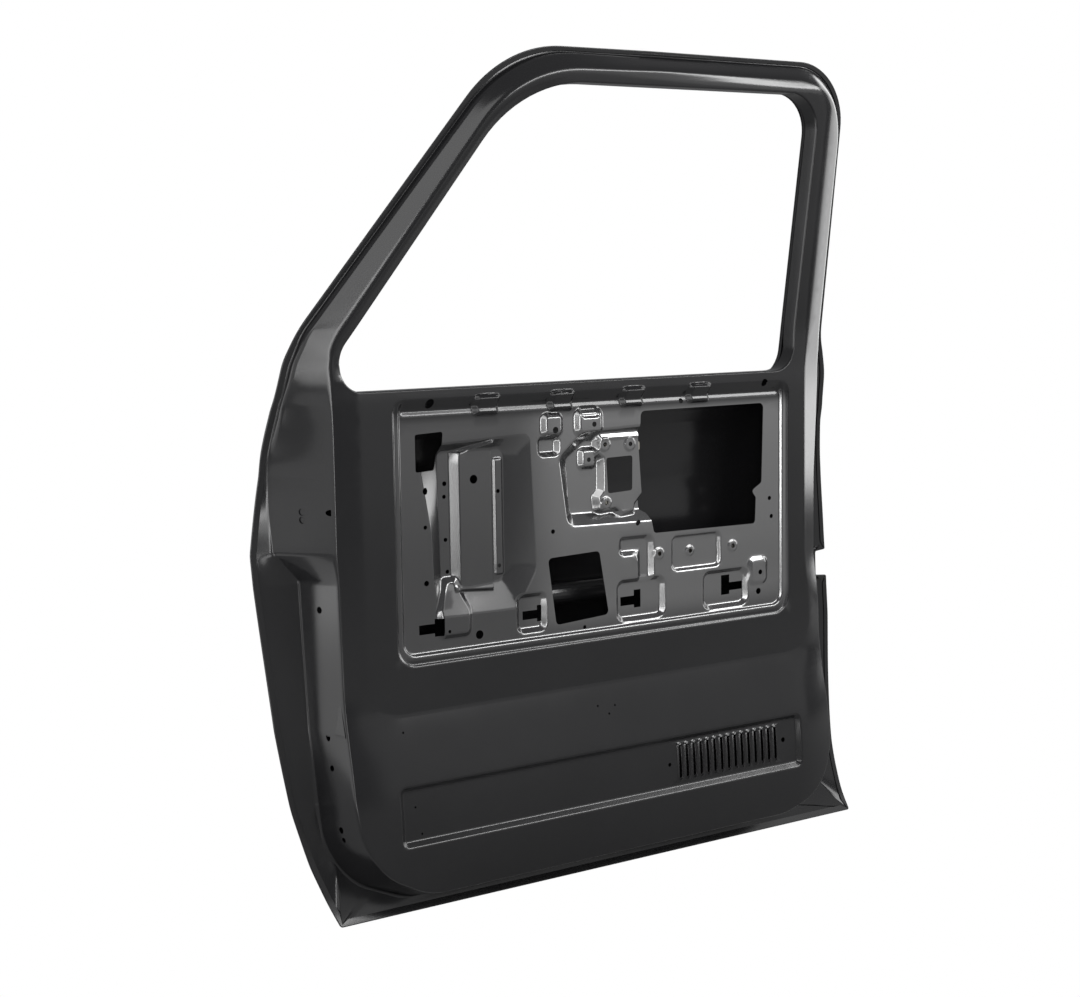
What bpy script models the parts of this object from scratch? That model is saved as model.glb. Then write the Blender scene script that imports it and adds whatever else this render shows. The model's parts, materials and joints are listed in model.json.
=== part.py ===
"""Right front door shell of a pickup truck, seen from the cabin side.

An inner pressing and an outer skin are hemmed together round the edge. Between
them sit the belt rails, the side impact beam, the hinge and latch
reinforcements, the window run channels and the welded nuts.

Door axes while modelling: +X towards the rear of the vehicle, +Y outboard,
+Z up, all in millimetres, with Y = 0 on the trim plane. An empty carries
every piece, so that the finished part has its origin on the upper hinge face.
"""
import math

import bmesh
import bpy
import numpy as np
from mathutils import Matrix, Vector
from mathutils.geometry import delaunay_2d_cdt

MM = 0.001

# Sheet gauges and clearances
PANEL_GAUGE = 0.9
SKIN_GAUGE = 0.9
HEM_GAP = 0.45
SEAT_GAP = 0.35
HEM_WIDTH = 9.0
LIP_INSET = 2.7
CREASE_LIFT = 2.5
TIGHT_RADIUS = 10.0
PLATE_GAUGE = 2.5

# Main sizes of the door: its rear and bottom edges, its roof and its shoulders
REAR_X = 905.0
ROOF_Z = 673.0
FOOT_Z = -587.0
FRONT_SHOULDER_X = -53.0
REAR_SHOULDER_X = REAR_X - 125.0
CROWN_FRONT_X = -100.0
CROWN_REAR_X = REAR_X - 95.0

# Main levels of the door
SILL_Z = 182.0
BELT_DROP = 14.0
BELT_CREASE_Z = 148.0
PLATEAU_FOOT_Z = -282.0
ROOF_CREASE_Z = ROOF_Z - 49.0
TUMBLEHOME = math.tan(math.radians(8.5))
TUMBLE_START_Z = 190.0
FRAME_SET = 15.0
FRAME_DEPTH = 38.0
REVEAL_DEPTH = 27.0

# Trim recess in the inner pressing
RECESS_LEFT = -2.0
RECESS_RIGHT = REAR_SHOULDER_X - 48.0
RECESS_BOTTOM = -213.0
RECESS_RADIUS = 28.0
LEDGE_DEPTH = 3.5
LEDGE_WIDTH = 11.0
FLOOR_DEPTH = 8.0
BAND_DEPTH = 4.0

# Lower panel and its louvred recess
LEAN_DEPTH = 30.0
LEAN_HEIGHT = 180.0
VENT_LEFT = -16.0
VENT_RIGHT = REAR_SHOULDER_X - 46.0
VENT_TOP = -385.0
VENT_BOTTOM = -465.0
VENT_DEPTH = 8.0
LOUVRE_COUNT = 15
LOUVRE_FIRST_X = VENT_RIGHT - 247.0
LOUVRE_PITCH = 14.1
LOUVRE_WIDTH = 6.0
LOUVRE_TOP = -396.0
LOUVRE_BOTTOM = -449.0

# Striker notch in the rear edge
NOTCH_X = REAR_X - 23.0
NOTCH_TOP = -137.0
NOTCH_BOTTOM = -178.0

# Side impact beam
BEAM_RADIUS = 16.0
BEAM_WALL = 2.0
BEAM_Z = -150.0
BEAM_FRONT_X = -55.0
BEAM_REAR_X = REAR_SHOULDER_X - 10.0

# Depth of the window run channels
RUN_DEPTH = 40.0

# Middle of the upper hinge face, where the finished part has its origin
HINGE_Y = 45.0
HINGE_Z = 8.0

# Nuts
NUT_SIDE = 13.0
NUT_HEIGHT = 5.0
NUT_BORE = 3.2

# Facet sizes
CHORD_ERROR = 0.35
EDGE_STEP = 42.0
GRID_STEP = 85.0
CREASE_STEP = 75.0
SHARP_ANGLE = math.radians(34)

# Skin surface: height against outboard depth of the outer face at the edges
SKIN_PROFILE = [(-600, 30), (-587, 38), (-560, 53), (-520, 66), (-450, 79), (-380, 86), (-250, 92),
                (-84, 97), (60, 95.5), (100, 90), (125, 81), (150, 69.5), (175, 58.5), (205, 51), (260, 42.5)]

SKIN_LEVELS = (-555, -520, -480, -430, -370, 20, 60, 84, 104, 122, 140, 156)

# Stations round the door, clockwise from the lower front corner: the edge of
# the inner face, the foot of the jamb and the edge of the skin, each with its
# corner radius, and how far down the jamb its foot lies (1 is on the flange)
STATIONS = [
    ("front_foot", (-42, FOOT_Z + 79, 120), (-60, FOOT_Z + 56, 110), (-89, FOOT_Z, 4), 0.94),
    ("foot_side", (-80, -455, 110), (-93, -472, 100), (-119, -500, 250), 0.94),
    ("hinge_foot", (-88, -392, 200), (-99, -412, 150), (-141, -415, 300), 0.94),
    ("hinge_low", (-89, -300, 200), (-110, -303, 150), (-159, -300, 250), 0.94),
    ("hinge_mid", (-93, -85, 200), (-116, -85, 12), (-181, -90, 150), 0.94),
    ("joggle", (-95, -42, 100), (-153, -45, 12), (-184, -45, 60), 0.94),
    ("hinge_high", (-95, 62, 200), (-153, 66, 120), (-168, 66, 150), 0.962),
    ("belt_front", (-95, 165, 120), (-147, 165, 90), (-161, 160, 60), 0.85),
    ("pillar_low", (-92, 222, 100), (-136, 220, 100), (-149, 226, 80), 0.72),
    ("pillar_foot", (-88, 262, 90), (-118, 265, 90), (-127, 270, 200), 0.55),
    ("roof_front", (179, ROOF_Z - 47, 250), (190, ROOF_Z - 17, 225), (182, ROOF_Z - 5, 200), 0.5),
    ("roof_rear", (REAR_X - 85, ROOF_Z - 28, 105), (REAR_X - 79, ROOF_Z - 11, 95), (REAR_X - 67, ROOF_Z, 100), 0.5),
    ("pillar_rear", (REAR_X - 83, 232, 200), (REAR_X - 76, 232, 150), (REAR_X - 62, 235, 100), 0.6),
    ("belt_rear", (REAR_X - 85, 120, 200), (REAR_X - 77, 118, 100), (REAR_X - 21, 112, 80), 0.9),
    ("latch_high", (REAR_X - 96, 10, 200), (REAR_X - 88, 10, 100), (REAR_X - 13, 10, 200), 0.92),
    ("latch_low", (REAR_X - 94, -235, 300), (REAR_X - 85, -235, 150), (REAR_X - 1, -245, 300), 0.92),
    ("rear_side", (REAR_X - 90, -445, 90), (REAR_X - 81, -458, 90), (REAR_X - 6, -470, 300), 0.94),
    ("rear_foot", (REAR_X - 118, FOOT_Z + 68, 90), (REAR_X - 108, FOOT_Z + 46, 90), (REAR_X, FOOT_Z, 4), 0.94),
    ("sill_rear", (REAR_X - 197, FOOT_Z + 41, 90), (REAR_X - 199, FOOT_Z + 21, 90), (REAR_X - 145, FOOT_Z, 300), 0.94),
    ("sill_front", (30, FOOT_Z + 40, 100), (26, FOOT_Z + 21, 100), (0, FOOT_Z, 300), 0.94),
]

# Window opening in the inner face
WINDOW = [(-76, SILL_Z, 28), (-76, 237, 50), (199, ROOF_Z - 58, 210), (REAR_SHOULDER_X - 23, ROOF_Z - 53, 60),
          (REAR_SHOULDER_X - 29, SILL_Z + 2, 45)]

MAIN_OPENING = [(436, 92, 10), (438, 132, 8), (RECESS_RIGHT - 46, 133, 8), (RECESS_RIGHT - 50, 4, 6),
                (RECESS_RIGHT - 71, -8, 5), (RECESS_RIGHT - 62, -20, 5), (RECESS_RIGHT - 64, -62, 6), (462, -60, 6),
                (455, -30, 6), (444, -22, 6)]
FRONT_OPENING = [(36, 118, 3), (82, 120, 3), (80, 92, 3), (73, 64, 3), (36, 64, 3)]
LOWER_OPENING = [(261, -81, 7), (356, -78, 7), (373, -178, 7), (275, -184, 7)]
HANDLE_OPENING = [(375, 63, 4), (425, 64, 4), (424, 10, 4), (378, 8, 4)]

# Keyhole slots of the trim clips: a wide head beside a narrow neck
CLIP_SLOTS = [
    [(36, -157), (62, -157), (62, -150), (75, -150), (75, -176), (62, -176), (62, -171), (36, -171)],
    [(219, -158), (245, -158), (245, -151), (252, -151), (252, -176), (245, -176), (245, -171), (219, -171)],
    [(401, -156), (427, -156), (427, -147), (440, -147), (440, -175), (427, -175), (427, -170), (401, -170)],
    [(RECESS_RIGHT - 129, -142), (RECESS_RIGHT - 112, -142), (RECESS_RIGHT - 112, -155), (RECESS_RIGHT - 86, -155),
     (RECESS_RIGHT - 86, -168), (RECESS_RIGHT - 112, -168), (RECESS_RIGHT - 112, -174), (RECESS_RIGHT - 129, -174)],
]

# Round holes of the inner face: x, z, radius
FACE_HOLES = [(60, 161, 7), (RECESS_RIGHT - 48, 166, 6), (137, 47, 6.5), (138, -182, 6.5),
              (RECESS_RIGHT - 57, -174, 5), (182, 26, 3), (182, -85, 3), (271, -41, 3.5), (430, -42, 3.5),
              (RECESS_RIGHT - 57, -142, 4), (RECESS_RIGHT - 33, -23, 3.5), (RECESS_RIGHT - 29, -53, 3.5),
              (273, 112, 5), (344, 117, 4), (52, 36, 5), (50, -97, 4), (LOUVRE_FIRST_X - 20, -425, 3),
              (VENT_RIGHT - 31, -421, 4), (-70, 314, 6)]

# Bolt and fixing holes of the hinge face: height, depth, radius
HINGE_HOLES = [(19, 36, 4), (19, 22, 4), (5, 30, 3), (-123, 47, 4.5), (-306, 48, 4.5), (-347, 26, 4.5),
               (-444, 41, 4.5), (-459, 23, 4)]

# Nuts on the back of the inner face: name, x, z
NUTS = [("armrest_nut_front", 471, -93), ("armrest_nut_rear", RECESS_RIGHT - 112, -94),
        ("armrest_nut_centre", (471 + RECESS_RIGHT - 112) / 2, -96),
        ("handle_nut_front", 380, 78), ("handle_nut_rear", 433, 78), ("handle_nut_lower", 380, -2),
        ("trim_nut_front", 22, -20), ("trim_nut_rear", RECESS_RIGHT - 25, 60)]


def clear_scene():
    for scene_object in list(bpy.data.objects):
        bpy.data.objects.remove(scene_object, do_unlink=True)


def make_material(name, colour, roughness, metallic):
    """A painted or plated finish on a Principled shader."""
    material = bpy.data.materials.new(name)
    material.use_nodes = True
    shader = material.node_tree.nodes["Principled BSDF"]
    shader.inputs["Base Color"].default_value = (*colour, 1.0)
    shader.inputs["Roughness"].default_value = roughness
    shader.inputs["Metallic"].default_value = metallic
    return material


def ease(start, end, value):
    """Smooth step from 0 at start to 1 at end."""
    t = np.clip((np.asarray(value, dtype=float) - start) / (end - start), 0.0, 1.0)
    return t * t * (3.0 - 2.0 * t)


def hinge(value, width=6.0):
    """Zero below 0, a straight rise above it, rounded over the given width."""
    value = np.asarray(value, dtype=float)
    bend = np.clip(value + width / 2, 0.0, width) ** 2 / (2 * width)
    return np.where(value > width / 2, value, bend)


def through_knots(knots, value):
    """Smooth curve through knots (position, height), monotone between them."""
    places = np.array([k[0] for k in knots], dtype=float)
    heights = np.array([k[1] for k in knots], dtype=float)
    slopes = np.gradient(heights, places)
    value = np.asarray(value, dtype=float)
    inside = np.clip(value, places[0], places[-1])
    i = np.clip(np.searchsorted(places, inside, side="right") - 1, 0, len(places) - 2)
    span = places[i + 1] - places[i]
    t = (inside - places[i]) / span
    curve = ((2 * t**3 - 3 * t**2 + 1) * heights[i] + (t**3 - 2 * t**2 + t) * span * slopes[i]
             + (3 * t**2 - 2 * t**3) * heights[i + 1] + (t**3 - t**2) * span * slopes[i + 1])
    return curve


def corner_tangents(corners):
    """For each rounded corner: where its arc starts and ends, and half its turn."""
    count = len(corners)
    spots = [Vector(corner[:2]) for corner in corners]
    turns = []
    reaches = []
    for i in range(count):
        back = spots[i - 1] - spots[i]
        ahead = spots[(i + 1) % count] - spots[i]
        turns.append(math.pi - back.angle(ahead))
        reaches.append(max(0.2, corners[i][2] * math.tan(turns[i] / 2)))
    limited = []
    for i in range(count):
        share = 1.0
        for j in (i - 1, (i + 1) % count):
            length = (spots[j] - spots[i]).length
            share = min(share, 0.96 * length / (reaches[i] + reaches[j]))
        limited.append(reaches[i] * share)
    tangents = []
    for i in range(count):
        back = (spots[i - 1] - spots[i]).normalized()
        ahead = (spots[(i + 1) % count] - spots[i]).normalized()
        tangents.append((spots[i] + back * limited[i], spots[i] + ahead * limited[i], turns[i] / 2))
    return tangents


def loop_counts(corners, step):
    """Facets for each corner's arc and for the straight stretch after it."""
    tangents = corner_tangents(corners)
    arcs = []
    straights = []
    for i, (start, end, half_turn) in enumerate(tangents):
        radius = (end - start).length / max(2 * math.sin(half_turn), 0.02)
        bend = 2 * math.acos(1 - min(CHORD_ERROR / max(radius, 2 * CHORD_ERROR), 0.5))
        arcs.append(max(1, math.ceil(2 * half_turn / bend)))
        run = (tangents[(i + 1) % len(tangents)][0] - end).length
        straights.append(max(1, math.ceil(run / step)))
    return arcs, straights


def rounded_loop(corners, counts):
    """Closed outline through rounded corners, with the same facets for the same counts."""
    arcs, straights = counts
    points = []
    tangents = corner_tangents(corners)
    for i, (start, end, half_turn) in enumerate(tangents):
        peak = Vector(corners[i][:2])
        weight = math.cos(half_turn)
        for k in range(arcs[i] + 1):
            t = k / arcs[i]
            low, middle, high = (1 - t) ** 2, 2 * weight * t * (1 - t), t * t
            point = (start * low + peak * middle + end * high) / (low + middle + high)
            points.append((point.x, point.y))
        following = tangents[(i + 1) % len(tangents)][0]
        for k in range(1, straights[i]):
            point = end.lerp(following, k / straights[i])
            points.append((point.x, point.y))
    return points


def outline(corners, step):
    return rounded_loop(corners, loop_counts(corners, step))


def grow(corners, distance):
    """The same rounded outline moved outwards (or inwards, when negative)."""
    area = 0.0
    for i, corner in enumerate(corners):
        previous = corners[i - 1]
        area += previous[0] * corner[1] - corner[0] * previous[1]
    side = 1.0 if area > 0 else -1.0
    grown = []
    for i, (x, z, radius) in enumerate(corners):
        before = Vector((x, z)) - Vector(corners[i - 1][:2])
        after = Vector(corners[(i + 1) % len(corners)][:2]) - Vector((x, z))
        before.normalize()
        after.normalize()
        normal_before = Vector((before.y, -before.x)) * side
        normal_after = Vector((after.y, -after.x)) * side
        mitre = (normal_before + normal_after).normalized()
        reach = distance / max(0.3, mitre.dot(normal_before))
        grown.append((x + mitre.x * reach, z + mitre.y * reach, max(0.8, radius + distance)))
    return grown


def box(left, bottom, right, top, radius):
    return [(left, bottom, radius), (right, bottom, radius), (right, top, radius), (left, top, radius)]


def path_distance(points, x, z):
    """Distance to a closed path."""
    best = np.full(np.shape(x), 1e18)
    for i, (bx, bz) in enumerate(points):
        ax, az = points[i - 1]
        dx, dz = bx - ax, bz - az
        t = np.clip(((x - ax) * dx + (z - az) * dz) / max(dx * dx + dz * dz, 1e-9), 0, 1)
        best = np.minimum(best, (x - ax - t * dx) ** 2 + (z - az - t * dz) ** 2)
    return np.sqrt(best)


def distance_to(corners, x, z):
    """Signed distance to a rounded outline, negative inside."""
    points = outline(corners, 40.0)
    x = np.atleast_1d(np.asarray(x, dtype=float))
    z = np.atleast_1d(np.asarray(z, dtype=float))
    inside = inside_loop(points, np.column_stack((x, z)))
    return np.where(inside, -1.0, 1.0) * path_distance(points, x, z)


class Emboss:
    """One pressed form: its outer crease, its inner crease and how deep it goes outboard."""

    def __init__(self, outer, depth, wall=None, inner=None):
        self.outer = outer if inner else grow(outer, wall / 2)
        self.inner = inner if inner else grow(outer, -wall / 2)
        self.depth = depth

    def add(self, x, z):
        inside_outer = np.maximum(-distance_to(self.outer, x, z), 0)
        outside_inner = np.maximum(distance_to(self.inner, x, z), 0)
        share = inside_outer / np.maximum(inside_outer + outside_inner, 1e-6)
        return self.depth * share

    def creases(self):
        return [self.outer, self.inner]


def belt_tabs():
    """Four locating tabs pressed inboard along the belt."""
    return [Emboss(box(x, 142, x + 38, 168, 4), -8.0, wall=7.0) for x in (136, 268, 401, 531)]


RECESS_FORMS = [
    Emboss(box(RECESS_LEFT, RECESS_BOTTOM, RECESS_RIGHT, SILL_Z - 6, RECESS_RADIUS), LEDGE_DEPTH, wall=5.0),
    Emboss(box(RECESS_LEFT + LEDGE_WIDTH, RECESS_BOTTOM + LEDGE_WIDTH + 3, RECESS_RIGHT - LEDGE_WIDTH,
               SILL_Z - 8, RECESS_RADIUS - 9), FLOOR_DEPTH - LEDGE_DEPTH, wall=5.0),
    Emboss(box(RECESS_LEFT + 14, BELT_CREASE_Z, RECESS_RIGHT - 15, SILL_Z - 10, 6), BAND_DEPTH, wall=5.0),
]
FORMS = [
    # Louvred recess of the lower panel
    Emboss(box(VENT_LEFT, VENT_BOTTOM, VENT_RIGHT, VENT_TOP, 7), VENT_DEPTH, wall=9.0),
    # Inside handle pocket and the raised column in it
    Emboss([(283, 70, 18), (299, -37, 16), (490, -41, 5), (490, 112, 8), (327, 106, 30)], 12.0,
           inner=[(306, 64, 10), (312, -19, 8), (484, -22, 6), (484, 92, 6), (340, 90, 16)]),
    Emboss(box(366, -13, 470, 90, 5), -7.0, wall=6.0),
    # Regulator trough, its raised channel and side plate
    Emboss([(36, 100, 4), (58, -14, 25), (64, -148, 8), (206, -150, 14), (241, -95, 30), (232, 108, 14)], 15.0,
           inner=[(80, 90, 8), (83, -98, 8), (122, -112, 8), (190, -108, 10), (194, 90, 12)]),
    Emboss([(99, -116, 3), (171, -121, 3), (171, 105, 4), (99, 90, 4)], -8.0,
           inner=[(113, -113, 3), (168, -116, 3), (168, 101, 4), (113, 85, 4)]),
    Emboss(box(176, -98, 190, 74, 3), -3.0, wall=4.0),
    # Bell shaped bump at the foot of the trough
    Emboss([(85, -97, 6), (103, -97, 6), (122, -140, 12), (120, -178, 8), (71, -178, 8), (69, -140, 12)], -7.0,
           wall=9.0),
    # Pockets of the trim clips, the armrest pocket and the pull cup
    Emboss(box(208, -187, 255, -134, 9), 5.0, wall=8.0),
    Emboss(box(392, -191, 480, -131, 12), 5.0, wall=9.0),
    Emboss(box(RECESS_RIGHT - 169, -191, RECESS_RIGHT - 82, -134, 12), 5.0, wall=9.0),
    Emboss(box(499, -123, 594, -70, 9), 6.0, wall=9.0),
    Emboss(box(402, -121, 442, -70, 9), 5.0, wall=9.0),
    # Fork bosses of the lock rods and the pad near the latch
    Emboss(box(254, 76, 286, 134, 9), -7.0, wall=9.0),
    Emboss(box(317, 103, 358, 138, 9), -7.0, wall=9.0),
    Emboss(box(RECESS_RIGHT - 77, -160, RECESS_RIGHT - 42, -119, 9), -5.0, wall=8.0),
] + belt_tabs()


def tumble(z):
    """Depth of the window frame's face: set outboard at the belt, then leaning in."""
    return FRAME_SET * ease(150, 260, z) - TUMBLEHOME * hinge(z - TUMBLE_START_Z, 30)


def panel_depth(x, z):
    """Depth of the inner pressing's cabin side, in millimetres outboard of the trim plane."""
    x = np.atleast_1d(np.asarray(x, dtype=float))
    z = np.atleast_1d(np.asarray(z, dtype=float))
    corner = 52.0
    depth = tumble(z)
    # Rear shoulder, which rounds the lower corner and runs on over the roof rail
    crease_x = REAR_SHOULDER_X - 12 + 14 * ease(150, 260, z) + 12 * ease(-110, -215, z)
    dip = np.clip(PLATEAU_FOOT_Z + corner - z, 0, corner)
    crease_x = crease_x - corner + np.sqrt(np.maximum(corner**2 - dip**2, 0))
    slope = 0.42 + 0.13 * ease(230, 120, z) - 0.35 * ease(-150, PLATEAU_FOOT_Z, z)
    over_x = np.maximum(x - crease_x + 30, 0)
    over_z = np.maximum(z - ROOF_CREASE_Z + 30, 0) * ease(250, 600, x)
    depth = depth + slope * hinge(np.hypot(over_x, over_z) - 30, 8)
    # Front shoulder
    depth = depth + 0.15 * hinge(FRONT_SHOULDER_X - x, 10) * ease(300, 200, z)
    # Lower panel, leaning into the cabin below the plateau and tucking under at the foot
    front = np.clip(FRONT_SHOULDER_X + corner - x, 0, corner)
    rear = np.clip(x - REAR_SHOULDER_X + corner, 0, corner)
    lift = corner - np.sqrt(corner**2 - np.maximum(front, rear) ** 2)
    run = hinge(PLATEAU_FOOT_Z + lift - z, 7)
    lean = LEAN_DEPTH * (np.clip(1 - run / LEAN_HEIGHT, 0, 1) ** 2 - 1)
    tuck = np.maximum(run - LEAN_HEIGHT, 0) ** 2 / 925
    depth = depth + lean + tuck
    fade = 1 - ease(150, 170, z)
    for form in RECESS_FORMS:
        depth = depth + form.add(x, z) * fade
    for form in FORMS:
        depth = depth + form.add(x, z)
    return depth


def skin_depth(x, z):
    """Depth of the skin's outer face: crowned body side, belt shoulder and leaning frame."""
    x = np.atleast_1d(np.asarray(x, dtype=float))
    z = np.atleast_1d(np.asarray(z, dtype=float))
    body = through_knots(SKIN_PROFILE, z)
    frame = FRAME_SET + FRAME_DEPTH - TUMBLEHOME * (z - TUMBLE_START_Z)
    middle, half = (CROWN_FRONT_X + CROWN_REAR_X) / 2, (CROWN_REAR_X - CROWN_FRONT_X) / 2
    across = np.clip((x - middle) / half, -1, 1)
    crown = 7.0 * (1 - across**2) ** 2 * ease(90, 10, z) * ease(-590, -480, z)
    return np.where(z > 260, frame, body) + crown


def skin_tilt(x, z):
    """Length along Y of a unit step square to the skin."""
    slope = (skin_depth(x, np.asarray(z) + 4.0) - skin_depth(x, np.asarray(z) - 4.0)) / 8.0
    return np.sqrt(1 + slope**2)


def flange_depth(x, z):
    """Cabin side of the inner pressing's flange, inside the hem."""
    return skin_depth(x, z) - (SKIN_GAUGE + HEM_GAP + PANEL_GAUGE) * skin_tilt(x, z)


class Perimeter:
    """Matching loops of the jamb and the hem, all with the same stations."""

    def __init__(self, step):
        counts = loop_counts([s[3] for s in STATIONS], step)
        face_counts = loop_counts([s[1] for s in STATIONS], step)
        counts = ([max(a, b) for a, b in zip(counts[0], face_counts[0])],
                  [max(a, b) for a, b in zip(counts[1], face_counts[1])])
        self.face = np.array(rounded_loop([s[1] for s in STATIONS], counts))
        self.foot = np.array(rounded_loop([s[2] for s in STATIONS], counts))
        self.edge = np.array(rounded_loop([s[3] for s in STATIONS], counts))
        self.share = self.spread([s[4] for s in STATIONS], counts)
        away = self.edge - self.foot
        length = np.linalg.norm(away, axis=1, keepdims=True)
        self.crease = self.foot + away / length * np.minimum(4.0, 0.2 * length)
        room = path_distance(self.foot, self.edge[:, 0], self.edge[:, 1])
        self.hem_width = np.minimum(HEM_WIDTH, 0.55 * room)
        for x, z, radius in [s[3] for s in STATIONS if s[3][2] < TIGHT_RADIUS]:
            near = np.hypot(self.edge[:, 0] - x, self.edge[:, 1] - z) < 1.3 * radius
            self.hem_width[near] = 0.85 * radius
        self.hem = self.inset(self.hem_width)
        self.face_y = panel_depth(self.face[:, 0], self.face[:, 1])
        lift = CREASE_LIFT * (0.5 + 0.5 * ease(12, 30, room))
        self.crease_y = flange_depth(self.crease[:, 0], self.crease[:, 1]) - lift
        self.hem_y = flange_depth(self.hem[:, 0], self.hem[:, 1])
        self.edge_y = flange_depth(self.edge[:, 0], self.edge[:, 1])
        foot_flange = flange_depth(self.foot[:, 0], self.foot[:, 1])
        self.foot_y = self.face_y + (foot_flange - self.face_y) * self.share

    def wall_x(self, z, y, side):
        """Where the jamb's outside face lies, at one height and depth."""
        same = [i for i in range(len(self.face)) if (self.face[i][0] < 300) == (side == "front")]
        i = min(same, key=lambda k: abs(self.face[k][1] - z))
        share = (y - self.face_y[i]) / (self.foot_y[i] - self.face_y[i])
        return float(self.face[i][0] + (self.foot[i][0] - self.face[i][0]) * share)

    @staticmethod
    def spread(values, counts):
        """One value for each loop point, eased between the stations."""
        spread = []
        for i, value in enumerate(values):
            following = values[(i + 1) % len(values)]
            spread.extend([value] * (counts[0][i] + 1))
            steps = counts[1][i]
            spread.extend([value + (following - value) * float(ease(0, 1, k / steps)) for k in range(1, steps)])
        return np.array(spread)

    def inset(self, distance):
        """The skin's edge moved square to itself, into the door."""
        count = len(self.edge)
        moved = []
        for i in range(count):
            before = Vector(self.edge[i] - self.edge[i - 1]).normalized()
            after = Vector(self.edge[(i + 1) % count] - self.edge[i]).normalized()
            along = (before + after).normalized()
            reach = distance[i] / max(0.5, along.dot(after))
            moved.append(self.edge[i] + reach * np.array((along.y, -along.x)))
        return np.array(moved)


def sheet_domain(outer, holes, creases, step, lines=()):
    """Triangulate an outline with holes, keeping the creases and open lines as edges."""
    points = []
    edges = []

    def add_loop(loop):
        first = len(points)
        points.extend(loop)
        count = len(loop)
        edges.extend([(first + i, first + (i + 1) % count) for i in range(count)])

    outer = [tuple(p) for p in outer]
    add_loop(outer)
    for hole in holes:
        add_loop(hole)
    wall_count = len(edges)
    for crease in creases:
        add_loop(crease)
    for line in lines:
        edges.extend((len(points) + i, len(points) + i + 1) for i in range(len(line) - 1))
        points.extend(line)
    placed = np.array(points)
    low, high = np.min(outer, axis=0), np.max(outer, axis=0)
    for j, row in enumerate(np.arange(low[1] + step / 2, high[1], step * 0.87)):
        for column in np.arange(low[0] + step / 2, high[0], step) + (step / 2 if j % 2 else 0):
            if np.min(np.hypot(placed[:, 0] - column, placed[:, 1] - row)) > step * 0.5:
                points.append((column, row))
    result = delaunay_2d_cdt([Vector(p) for p in points], edges, [], 0, 1e-4)
    flat = np.array([points[source[0]] if source else (v.x, v.y) for v, source in zip(result[0], result[3])])
    faces = [tuple(f) for f in result[2]]
    walls = {tuple(sorted(edge)) for edge, source in zip(result[1], result[4])
             if any(k < wall_count for k in source)}
    kept = []
    for region in regions(faces, walls):
        corners = np.array([[flat[i] for i in faces[f]] for f in region])
        side_a = corners[:, 1] - corners[:, 0]
        side_b = corners[:, 2] - corners[:, 0]
        doubled = np.abs(side_a[:, 0] * side_b[:, 1] - side_a[:, 1] * side_b[:, 0])
        centre = corners[np.argmax(doubled)].mean(axis=0)[None, :]
        if doubled.max() > 1.0 and inside_loop(outer, centre)[0] and not any(inside_loop(hole, centre)[0] for hole in holes):
            kept.extend(faces[f] for f in region)
    return flat, kept


def regions(faces, walls):
    """Groups of faces joined across edges that are not walls."""
    across = {}
    for f, corners in enumerate(faces):
        for i, corner in enumerate(corners):
            across.setdefault(tuple(sorted((corners[i - 1], corner))), []).append(f)
    seen = set()
    groups = []
    for first in range(len(faces)):
        if first in seen:
            continue
        seen.add(first)
        group = [first]
        for f in group:
            corners = faces[f]
            for i, corner in enumerate(corners):
                edge = tuple(sorted((corners[i - 1], corner)))
                if edge in walls:
                    continue
                for other in across[edge]:
                    if other not in seen:
                        seen.add(other)
                        group.append(other)
        groups.append(group)
    return groups


def inside_loop(loop, points):
    """Which points lie inside a closed outline."""
    x, z = points[:, 0], points[:, 1]
    inside = np.zeros(len(points), dtype=bool)
    for i, (bx, bz) in enumerate(loop):
        ax, az = loop[i - 1]
        if az != bz:
            inside ^= ((az > z) != (bz > z)) & (x < (bx - ax) * (z - az) / (bz - az) + ax)
    return inside


class Sheet:
    """A pressed sheet under construction: one bmesh with shared vertices by place."""

    def __init__(self):
        self.mesh = bmesh.new()
        self.index = {}

    def vertex(self, x, y, z):
        key = (round(float(x), 3), round(float(y), 3), round(float(z), 3))
        if key not in self.index:
            self.index[key] = self.mesh.verts.new((x * MM, y * MM, z * MM))
        return self.index[key]

    def face(self, corners):
        corners = [c for i, c in enumerate(corners) if c is not corners[i - 1]]
        if len(corners) > 2:
            self.mesh.faces.new(corners)

    def field(self, flat, faces, depth):
        """A height field; its faces look inboard."""
        used = sorted({i for f in faces for i in f})
        depths = depth(flat[used][:, 0], flat[used][:, 1])
        verts = {i: self.vertex(flat[i][0], y, flat[i][1]) for i, y in zip(used, depths)}
        for f in faces:
            self.face([verts[i] for i in f])

    def ring(self, inner, inner_y, outer, outer_y):
        """Quads between two matching loops."""
        count = len(inner)
        for i in range(count):
            j = (i + 1) % count
            self.face([self.vertex(inner[i][0], inner_y[i], inner[i][1]),
                       self.vertex(inner[j][0], inner_y[j], inner[j][1]),
                       self.vertex(outer[j][0], outer_y[j], outer[j][1]),
                       self.vertex(outer[i][0], outer_y[i], outer[i][1])])

    def finish(self, name, gauge, inboard, material):
        """Turn the sheet to face the given way and give it its gauge behind that face."""
        bmesh.ops.remove_doubles(self.mesh, verts=self.mesh.verts, dist=0.4 * MM)
        bmesh.ops.recalc_face_normals(self.mesh, faces=self.mesh.faces)
        total = sum((f.normal * f.calc_area() for f in self.mesh.faces), Vector())
        if (total.y > 0) == inboard:
            bmesh.ops.reverse_faces(self.mesh, faces=self.mesh.faces)
        bmesh.ops.triangulate(self.mesh, faces=self.mesh.faces)
        piece = new_piece(name, self.mesh, material)
        solidify = piece.modifiers.new("gauge", "SOLIDIFY")
        solidify.thickness = gauge * MM
        solidify.offset = -1.0
        solidify.use_even_offset = True
        return piece


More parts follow.
